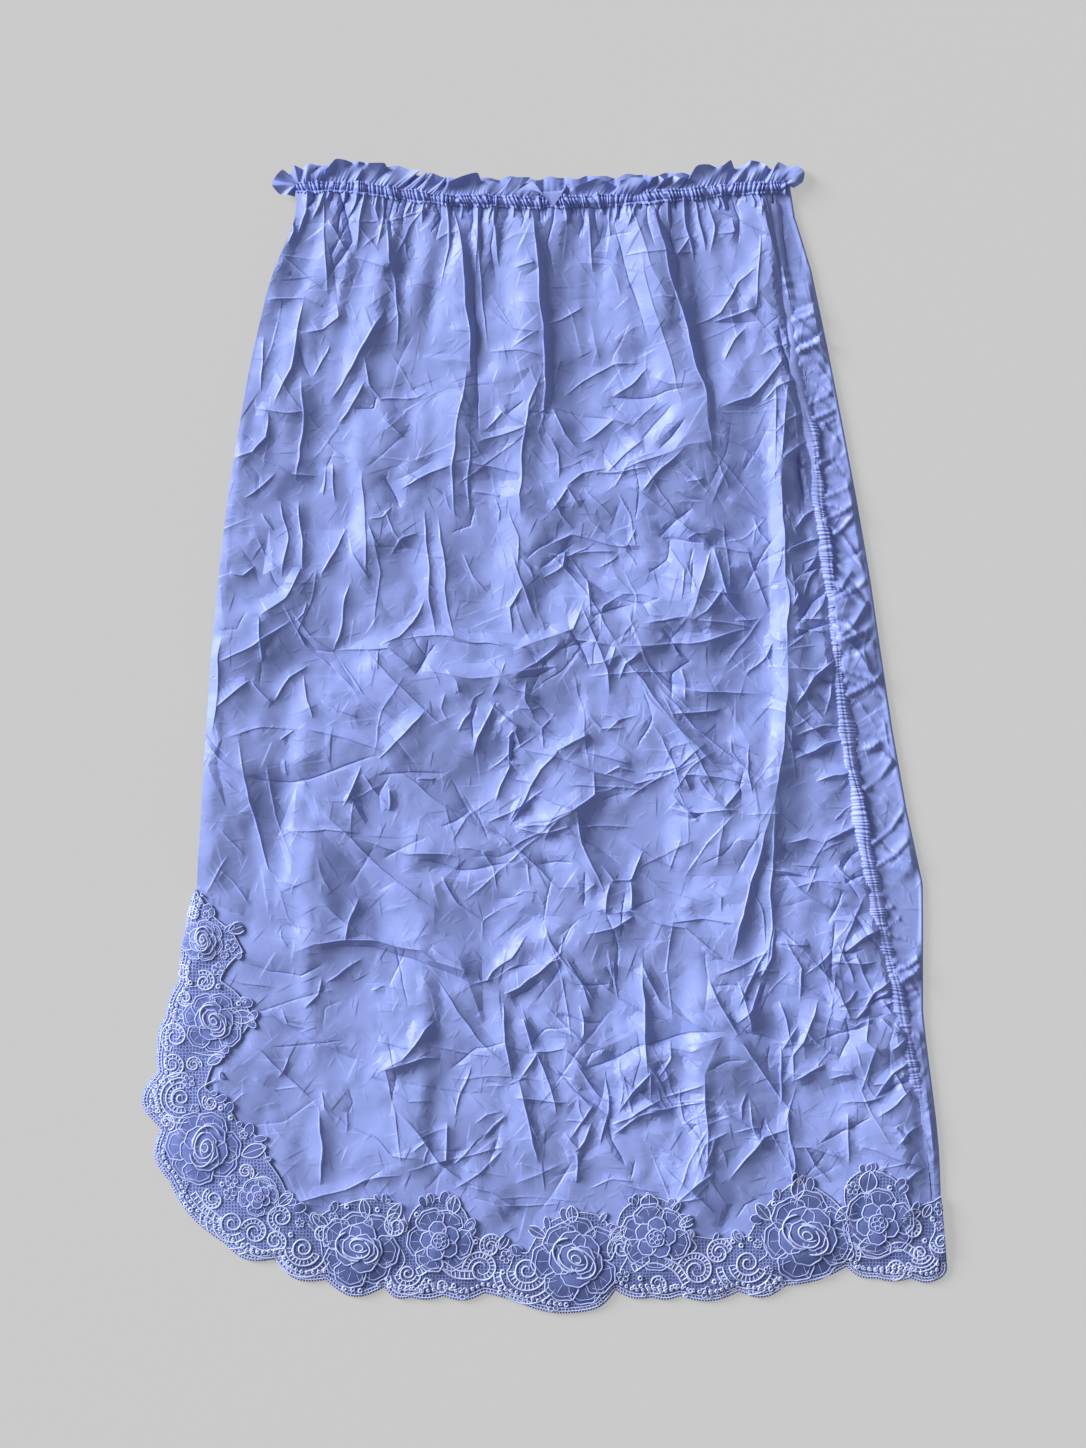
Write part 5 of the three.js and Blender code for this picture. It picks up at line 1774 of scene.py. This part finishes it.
def kept_inside(strokes):
    """Cuts off what would stand out over the edges of the galloon."""
    held = on_lace(np.vstack([line for line, *_ in strokes]))
    out, start = [], 0
    for line, *rest in strokes:
        flags = held[start:start + len(line)]
        start += len(line)
        cuts = np.flatnonzero(np.diff(flags.astype(int))) + 1
        for part, flag in zip(np.split(line, cuts), np.split(flags, cuts)):
            if flag[0] and len(part) > 1:
                out.append((part, *rest))
    return out


def drawn_in(patches):
    """Draws the outline of each worked area in to the galloon."""
    out = []
    for line, level, dome in patches:
        middle = line.mean(axis=0)
        for _ in range(14):
            outside = ~on_lace(line)
            if not outside.any():
                break
            line = np.where(outside[:, None], middle + 0.88 * (line - middle), line)
        out.append((line, level, dome))
    return out


# Small lobes stand out over the sewn edge, so that it follows the motifs.
random = np.random.default_rng(23)
lobe_places = along(sewn_edge, np.sort(random.uniform(0.004, 0.985, 78)))
lobe_ways = np.gradient(lobe_places, axis=0)
for (x, y), way in zip(lobe_places, lobe_ways):
    outward = math.degrees(math.atan2(way[1], way[0])) + 90 + random.uniform(-35, 35)
    size = random.uniform(3.5, 8.5)
    broad = random.uniform(0.45, 0.9) * size
    rose_strokes += petal(x, y, outward, -0.6 * size, 0.6 * size, broad, 0.1, net_patches, 0, 0.9)

rose_strokes, scroll_strokes = kept_inside(rose_strokes), kept_inside(scroll_strokes)
print("strokes in the roses:", len(rose_strokes), "and in the scrolls:", len(scroll_strokes))

# %% [markdown]
# ## The finished edge
# A galloon ends in two cords with bars between them and a row of picots, tiny loops that keep it from
# fraying, and a row of beads follows inside.  Then every stroke is dropped on the net and becomes cord.

# %% Edge of the lace
PICOT_PITCH = 1.9
BEAD_PITCH = 4.0
OUTER_CORD, INNER_CORD, BEAD_ROW = 1.5, 3.6, 6.4  # how far inside the free edge each lies

free_even = along(free_edge, np.linspace(0, 1, 620))
sewn_even = along(sewn_edge, np.linspace(0, 1, 520))
outer_cord, inner_cord = beside(free_even, OUTER_CORD), beside(free_even, INNER_CORD)
edge_length = np.hypot(*np.diff(free_edge, axis=0).T).sum()
picot_places = along(beside(free_even, 0.5), np.linspace(0, 1, int(edge_length / PICOT_PITCH)))
edge_strokes = [(outer_cord, 0.9, 0.7, 0.0), (inner_cord, 0.8, 0.6, 0.0),
                (beside(sewn_even, -0.8), 0.8, 0.5, 0.0)]
edge_strokes += ladder(inner_cord, outer_cord, 2.4, 0.7)
bead_places = along(beside(free_even, BEAD_ROW), np.linspace(0, 1, int(edge_length / BEAD_PITCH)))
for x, y in bead_places:
    if all(math.hypot(x - cx, y - cy) > radius for cx, cy, radius, _ in ROSES + SMALL_ROSES):
        edge_strokes += eyelets([(x, y)], 0.9)
for x, y in picot_places:
    edge_strokes.append((np.array([(x - 0.45, y), (x, y), (x + 0.45, y)]), 0.9, 0.8, 0.0))

lace_tree = ground_tree(lace_ground_grid(LACE_ABOVE_CLOTH, -0.4))
for piece_name, strokes, thread in (("lace_front_roses", rose_strokes, rose_cord),
                                    ("lace_front_scrolls", scroll_strokes, cord),
                                    ("lace_front_edge", edge_strokes, cord)):
    place(cords_object(piece_name, strokes, lace_tree), thread)
petal_cloth = stitched_material("close_net_petals", "#56639b", 0.9, 0.6)
satin_cloth = stitched_material("satin_stitch_petals", "#6674b0", 0.5, 0.35)
for piece_name, patches, cloth in (("lace_front_petals", net_patches, petal_cloth),
                                   ("lace_front_satin", satin_patches, satin_cloth)):
    place(patches_object(piece_name, drawn_in(patches), lace_tree), cloth)

# %% [markdown]
# ## The lace of the back
# The back's own galloon lies under the front's, flat on the surface.  Almost none of it shows, so the
# net alone is enough.

# %% Back lace
def back_lace_grid():
    """The net of the back, which lifts off the surface here and there."""
    share = np.linspace(0, 1, 12)[None, :, None]
    xy = sewn_edge[:, None] * (1 - share) + free_edge[:, None] * share
    lifted = np.clip(smooth_noise(xy[..., 0], xy[..., 1], 12, 95), 0, 1)
    return np.dstack([xy[..., 0], xy[..., 1], 0.15 + 0.7 * lifted])


lace_back = place(sheet_object("lace_back_net", back_lace_grid()), net)
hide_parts("hem_lace_back")

# %% [markdown]
# ## The casing
# An elastic runs through a narrow casing and draws the waist in.  The cloth stands in small steep
# pleats on it, side by side, a little slanted and no two quite alike.  A row of sine arches makes the
# pleats, and their heights and slants are drawn at random.

# %% Elastic casing
CASING_WIDTH = 6.6
CASING_CROWN = 5.2  # height along its middle, over the elastic
CASING_SIDE = 3.8  # and along both sides
GATHERS = 118  # pleats from end to end
CASING_LEFT, CASING_RIGHT = -168, 164


def casing_grid():
    """The front's casing, from one end to the other and from its foot up to the frill."""
    columns, rows = GATHERS * 9, 18
    x = np.linspace(CASING_LEFT, CASING_RIGHT, columns)[None, :]
    v = np.linspace(-1, 1, rows)[:, None]
    random = np.random.default_rng(31)
    places = np.linspace(CASING_LEFT, CASING_RIGHT, GATHERS)
    sway = np.interp(x, places, random.normal(0, 0.36, GATHERS))
    slant = np.interp(x, places[::4], random.uniform(-0.5, 0.9, len(places[::4])))
    phase = (x - CASING_LEFT) / (CASING_RIGHT - CASING_LEFT) * GATHERS + slant * v + sway
    pleat = np.abs(np.sin(math.pi * phase)) ** 0.6
    tall = np.interp(x, places, random.uniform(0.25, 1.5, GATHERS))
    crown = CASING_SIDE + (CASING_CROWN - CASING_SIDE) * (1 - v**2)
    stitched = np.exp(-((np.abs(v) - 0.62) / 0.10) ** 2)
    half = CASING_WIDTH / 2 + 1.5 * tall * pleat * np.abs(v) - 0.4 + 0.7 * smooth_noise(x, 0 * x, 9, 33)
    y = waist_line(x) + v * half + 0.7 * smooth_noise(x, 0 * x, 15, 34)
    z = crown + 2.8 * tall * pleat * (1 - 0.3 * stitched) - 0.25 * stitched
    foot = np.clip((-v - 0.5) / 0.5, 0, 1) ** 1.3  # the pleats run on into the cloth below
    z = z + foot * (front_height(x + 0 * y, y) + 0.4 + 1.1 * tall * pleat - z)
    return np.dstack([np.repeat(x, rows, axis=0), y, z])


casing_cloth = taffeta_material("gathered_taffeta", "#8998da", 0.15)
casing = place(sheet_object("casing_front", casing_grid()), casing_cloth)
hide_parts("waist_casing_front")


# %% [markdown]
# ## The casing of the back
# It lies pressed flat under the front's and hardly shows, so plain even pleats are enough.

# %% The back's casing
def back_casing_grid():
    """The back's casing, pressed flat between the front's and the surface."""
    columns, rows = GATHERS * 6, 8
    x = np.linspace(CASING_LEFT, CASING_RIGHT, columns)[None, :]
    v = np.linspace(-1, 1, rows)[:, None]
    pleat = np.abs(np.sin(math.pi * (x - CASING_LEFT) / (CASING_RIGHT - CASING_LEFT) * GATHERS + 0.4 * v))
    y = waist_line(x) + v * CASING_WIDTH / 2
    return np.dstack([np.repeat(x, rows, axis=0), y, 0.1 + 1.9 * pleat])


casing_back = place(sheet_object("casing_back", back_casing_grid()), casing_cloth)
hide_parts("waist_casing_back")

# %% [markdown]
# ## The frill
# Above the casing the cloth stands free as a frill.  Its free edge swings to and fro, so that each
# ruffle overhangs the dip beside it, and fine gathers fan out from the elastic.  Ribs that run from the
# elastic to the free edge carry the shape, one for each turn of a ruffle, and a smooth surface is
# drawn through them.

# %% Ribs of the frill
# foot x, tip x, tip y, tip height, belly of each rib of the frill, in millimetres.  Where the tip stands
# high the cloth leans to the wearer's feet and is dark; where it drops it catches the light.
RIBS = np.array([
    (-167, -169, 367, 2.5, 1), (-167.5, -174, 368, 6.5, 2), (-168, -179, 368.5, 3, 2),
    (-168, -184, 374, 8, 1), (-168, -183.5, 378, 4, 1), (-167.5, -181, 381, 8.5, 0),
    (-167, -177, 385, 6, 0), (-166, -172, 382, 3, 0), (-165.5, -169, 387.5, 7.5, 1),
    (-164.5, -164, 386, 3, 1), (-162, -160, 389.5, 3.2, 4.5), (-159, -154, 388, 3, 2),
    (-157, -158, 382, 7.5, 1), (-155, -150, 388, 3.5, 3.5), (-152, -146, 388.5, 3.5, 2),
    (-150, -148, 384, 8, -1), (-148, -141, 391.5, 10.5, -2), (-141, -134, 391, 9.5, -2),
    (-138, -130, 390, 6, 0), (-134, -125, 390, 10, -2), (-130, -121, 389.5, 7.5, 1),
    (-126, -118, 389, 10.5, -2),
    (-121, -108, 389, 9.5, -1), (-116, -106, 387, 4, 0), (-111, -99, 388, 3.2, 2.5), (-106, -90, 385, 4, 1.5),
    (-102, -84, 384.5, 8.5, 0), (-99, -91, 377, 2.5, 0), (-94, -79, 382.5, 9, -1), (-90, -83, 376, 2.5, 0),
    (-86, -75, 382.5, 7, 0), (-82, -72, 376, 2.4, 0), (-77, -66, 379.5, 9, -1), (-73, -66, 377, 2.5, 0),
    (-67, -64, 376.5, 9, -2), (-58, -54, 380.5, 10, -3), (-51, -45, 382.5, 9.5, -2), (-46, -42, 378, 3, 0),
    (-41, -35, 377.5, 3, 2), (-36, -25, 374.5, 2.6, 1), (-31, -22, 379, 8, 0), (-25, -9, 379.5, 6, 1),
    (-20, -18, 375, 3, 2), (-14, -5, 377, 7, 2), (-7, 2, 377, 8, 2), (0, 8, 378, 7, 2),
    (8, 14, 378, 5, 1), (14, 17, 373, 2.5, 0), (20, 22, 373.5, 7, -1), (28, 36, 378.5, 9.5, -2),
    (36, 43, 376.5, 8.5, -1), (42, 50, 374, 3, 0), (48, 52, 377, 8, 1), (53, 60, 380, 3.5, 4.5),
    (58, 69, 379, 3.0, 4), (62, 71, 372, 2.6, 0), (65, 73, 378, 9, -1), (69, 78, 381, 5, 0),
    (73, 82, 378, 9, -1), (77, 88, 381, 5, 0), (81, 93, 379, 9, -1), (86, 99, 380.5, 7, 0),
    (91, 97, 378, 3, 0), (95, 104, 387, 10, -2), (103, 112, 388, 9.5, -2), (109, 117, 386.5, 6.5, 0),
    (114, 122, 387.5, 9.5, -2), (121, 127, 391, 9, -1), (125, 130, 386, 3, 0), (129, 137, 389, 3.2, 3.5),
    (134, 141, 391, 7, 0), (139, 147, 390.5, 3.2, 3), (144, 151, 388, 7.5, 0), (148, 154, 386, 2.8, 0),
    (151, 157, 387, 7.5, 1), (154, 160, 390.5, 3.5, 3), (157, 166, 387.5, 3.2, 4), (160, 172, 388, 4, 3),
    (162, 177, 384, 5.5, 3), (163, 176, 377, 4.5, 3), (163, 170, 373, 3, 1),
])
FRILL_FOOT_HEIGHT = 4.0
FLOP_X, FLOP_WIDTH, FLOP_REACH = 2.0, 13.0, 4.5  # where the frill flops down over the casing


# %% [markdown]
# ## From ribs to a ruffle
# A smooth curve through the ribs gives the ruffle between them.  Near the elastic fine gathers are added,
# and in the middle the frill flops forward over the casing.

# %% The front's frill
def between_rows(table, per):
    """Smooth values between the rows of a table, `per` of them from row to row."""
    padded = np.vstack([2 * table[0] - table[1], table, 2 * table[-1] - table[-2]])
    t = np.linspace(0, 1, per, endpoint=False)[:, None]
    parts = []
    for p0, p1, p2, p3 in zip(padded, padded[1:], padded[2:], padded[3:]):
        way_in, way_out = 0.35 * (p2 - p0), 0.35 * (p3 - p1)
        parts.append((2 * t**3 - 3 * t**2 + 1) * p1 + (t**3 - 2 * t**2 + t) * way_in
                     + (3 * t**2 - 2 * t**3) * p2 + (t**3 - t**2) * way_out)
    return np.vstack(parts + [table[-1:]])


def frill_grid():
    """The front's frill: a row of points up each rib, and between the ribs."""
    rows = 20
    foot_x, free_x, free_y, tip, belly = between_rows(RIBS, 12).T[:, None, :]
    v = np.linspace(0, 1, rows)[:, None]
    foot_y = waist_line(foot_x) + CASING_WIDTH / 2 - 1.6
    x = foot_x + (free_x - foot_x) * v**0.9
    y = foot_y + (free_y - foot_y) * v
    z = FRILL_FOOT_HEIGHT + (tip - FRILL_FOOT_HEIGHT) * v**1.2 + belly * np.sin(math.pi * v)
    random = np.random.default_rng(41)
    u = (foot_x + 168) / 331 * GATHERS
    uneven = np.interp(u, np.arange(GATHERS), random.normal(0, 0.3, GATHERS))
    fine = np.abs(np.sin(math.pi * (u + uneven))) ** 0.8
    z = z + 1.9 * (fine - 0.5) * np.exp(-v / 0.24)
    z = z + 1.0 * FACET_NETS[3].height(x, y) + 0.6 * FACET_NETS[2].height(x, y)
    flop = np.clip(1 - np.abs(foot_x + 4 - FLOP_X) / FLOP_WIDTH, 0, 1)
    over = np.clip((v - 0.45) / 0.55, 0, 1)
    y = y - flop**0.7 * over * (free_y - foot_y + FLOP_REACH)
    z = z + flop**0.7 * over * 2.6
    return np.dstack([x, y, np.maximum(z, 1.4)])


frill = place(sheet_object("frill_front", frill_grid()), taffeta)
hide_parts("waist_frill_front")


# %% [markdown]
# ## The frill of the back
# Only its edge shows, as a low line behind the front's, so it is a plain ruffle of sine waves.

# %% The back's frill
def back_frill_grid():
    """The back's frill, a low ruffle that shows as a line behind the front's."""
    columns, rows = 560, 12
    x = np.linspace(-170, 166, columns)[None, :]
    v = np.linspace(0, 1, rows)[:, None]
    foot = waist_line(x) + CASING_WIDTH / 2 - 1
    free = np.interp(x, [-170, -150, -120, -60, -40, 0, 30, 100, 120, 150, 166],
                     [383, 388, 386, 380, 380, 379.5, 380.5, 383, 386, 387, 384])
    free = free + 0.9 * np.sin(x / 4.3) + 0.6 * np.sin(x / 2.1)
    y = foot + (free - foot) * v
    ruffle = np.abs(np.sin(x / 5.2 + 0.6 * np.sin(x / 17)))
    z = 0.6 + 2.2 * v * ruffle + 0.6 * np.abs(np.sin(x / 1.4)) * (1 - v) + 0.5 * FACET_NETS[3].height(x, y)
    return np.dstack([np.repeat(x, rows, axis=0), y, np.maximum(z, 0.3)])


back_frill = place(sheet_object("frill_back", back_frill_grid()), taffeta)
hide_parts("waist_frill_back")

# %% [markdown]
# ## The side seam
# The overlocked allowance lies on the join.  Its thread draws the cloth into hundreds of little
# puckers, so the strip looks like a caterpillar from close by.  It is a strip of points along the seam
# whose rungs rise and fall like the pleats of the casing; its upper end lies smooth, and towards the
# hem the puckers die away.

# %% Side seam
SEAM_WIDTH = 10.4
RUNG_PITCH = 2.5  # mm from pucker to pucker
SEAM_END_LEVEL = 3.7  # height of its smooth lower end

seam_points, _ = node_geometry("side_seam")
seam_top, seam_bottom = seam_points[:, 1].max(), seam_points[:, 1].min()


def seam_grid():
    """The puckered strip, from the waist down to the hem."""
    rungs = int((seam_top - seam_bottom) / RUNG_PITCH)
    rows, columns = rungs * 6, 16
    y = np.linspace(seam_top, seam_bottom, rows)[:, None]
    v = np.linspace(-1, 1, columns)[None, :]
    random = np.random.default_rng(51)
    places = np.linspace(seam_top, seam_bottom, rungs)[::-1]
    sway = np.interp(y, places, random.normal(0, 0.35, rungs))
    slant = np.interp(y, places[::5], random.uniform(-0.6, 0.6, len(places[::5])))
    phase = (seam_top - y) / RUNG_PITCH + slant * v + sway
    rung = np.abs(np.sin(math.pi * phase)) ** 0.8
    tall = np.interp(y, places, random.uniform(0.35, 1.3, rungs))
    lean = 0.55 * smooth_noise(y, 0 * y, 30, 54)
    drawn = np.clip((228 - y) / 20, 0.1, 1)
    side = np.clip((v - 0.1) / 0.3, 0, 1)
    tall = tall * drawn * (side + (1 - side) * np.clip((182 - y) / 25, 0.15, 0.85))
    worn = np.clip((y + 262) / 40, 0.15, 1)
    half = SEAM_WIDTH / 2 * (0.9 + 0.25 * rung * tall + 0.3 * smooth_noise(y, 0 * y, 12, 52))
    half = half * (0.5 + 0.5 * worn)
    x = seam_edge(y) + 0.8 + v * half + 1.1 * smooth_noise(y, 0 * y, 22, 53)
    crown = 1 - np.abs(v - lean) ** 2.0
    gap = np.exp(-((v - lean - 0.15) / 0.10) ** 2)
    z = FRONT_LEVEL + 0.2 + 1.6 * crown * worn - 0.7 * gap * worn * drawn
    z = z * worn + SEAM_END_LEVEL * (1 - worn)
    z = z + 1.7 * tall * rung * (0.35 + 0.65 * np.clip(crown, 0, 1)) * worn
    z = z + 0.6 * FACET_NETS[3].height(x, y + 0 * x) + 0.5 * FACET_NETS[2].height(x, y + 0 * x)
    z = np.where(np.abs(v) > 0.99, FRONT_LEVEL - 0.6, z)
    return np.dstack([x, np.repeat(y, columns, axis=1), z])


# Painted light: the seam's taffeta is a paler copy of the front's, which brightens the strip against the
# shade in its puckers.
painted_lighter_seam_cloth = taffeta_material("overlocked_taffeta", "#9ba9ea", 0.15)
side_seam = place(sheet_object("side_seam_strip", seam_grid()), painted_lighter_seam_cloth)
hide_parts("side_seam")

# %% [markdown]
# ## Areas of the cloth
# The area of every sheet is printed, in square centimetres. The cords and worked areas belong to the net that
# they are sewn on.

# %% Areas of the sheets
sheets = (front_cloth, back_cloth, lace_ground, lace_back, casing, casing_back, frill, back_frill, side_seam)
for piece in sheets:
    area = sum(face.area for face in piece.data.polygons)
    print(piece.name, "covers", round(area * 1e4), "square centimetres")

# %% [markdown]
# ## The pieces made
# Every piece that was made is printed with its count of faces.

# %% The pieces made
print("made", len(made), "pieces:", made)
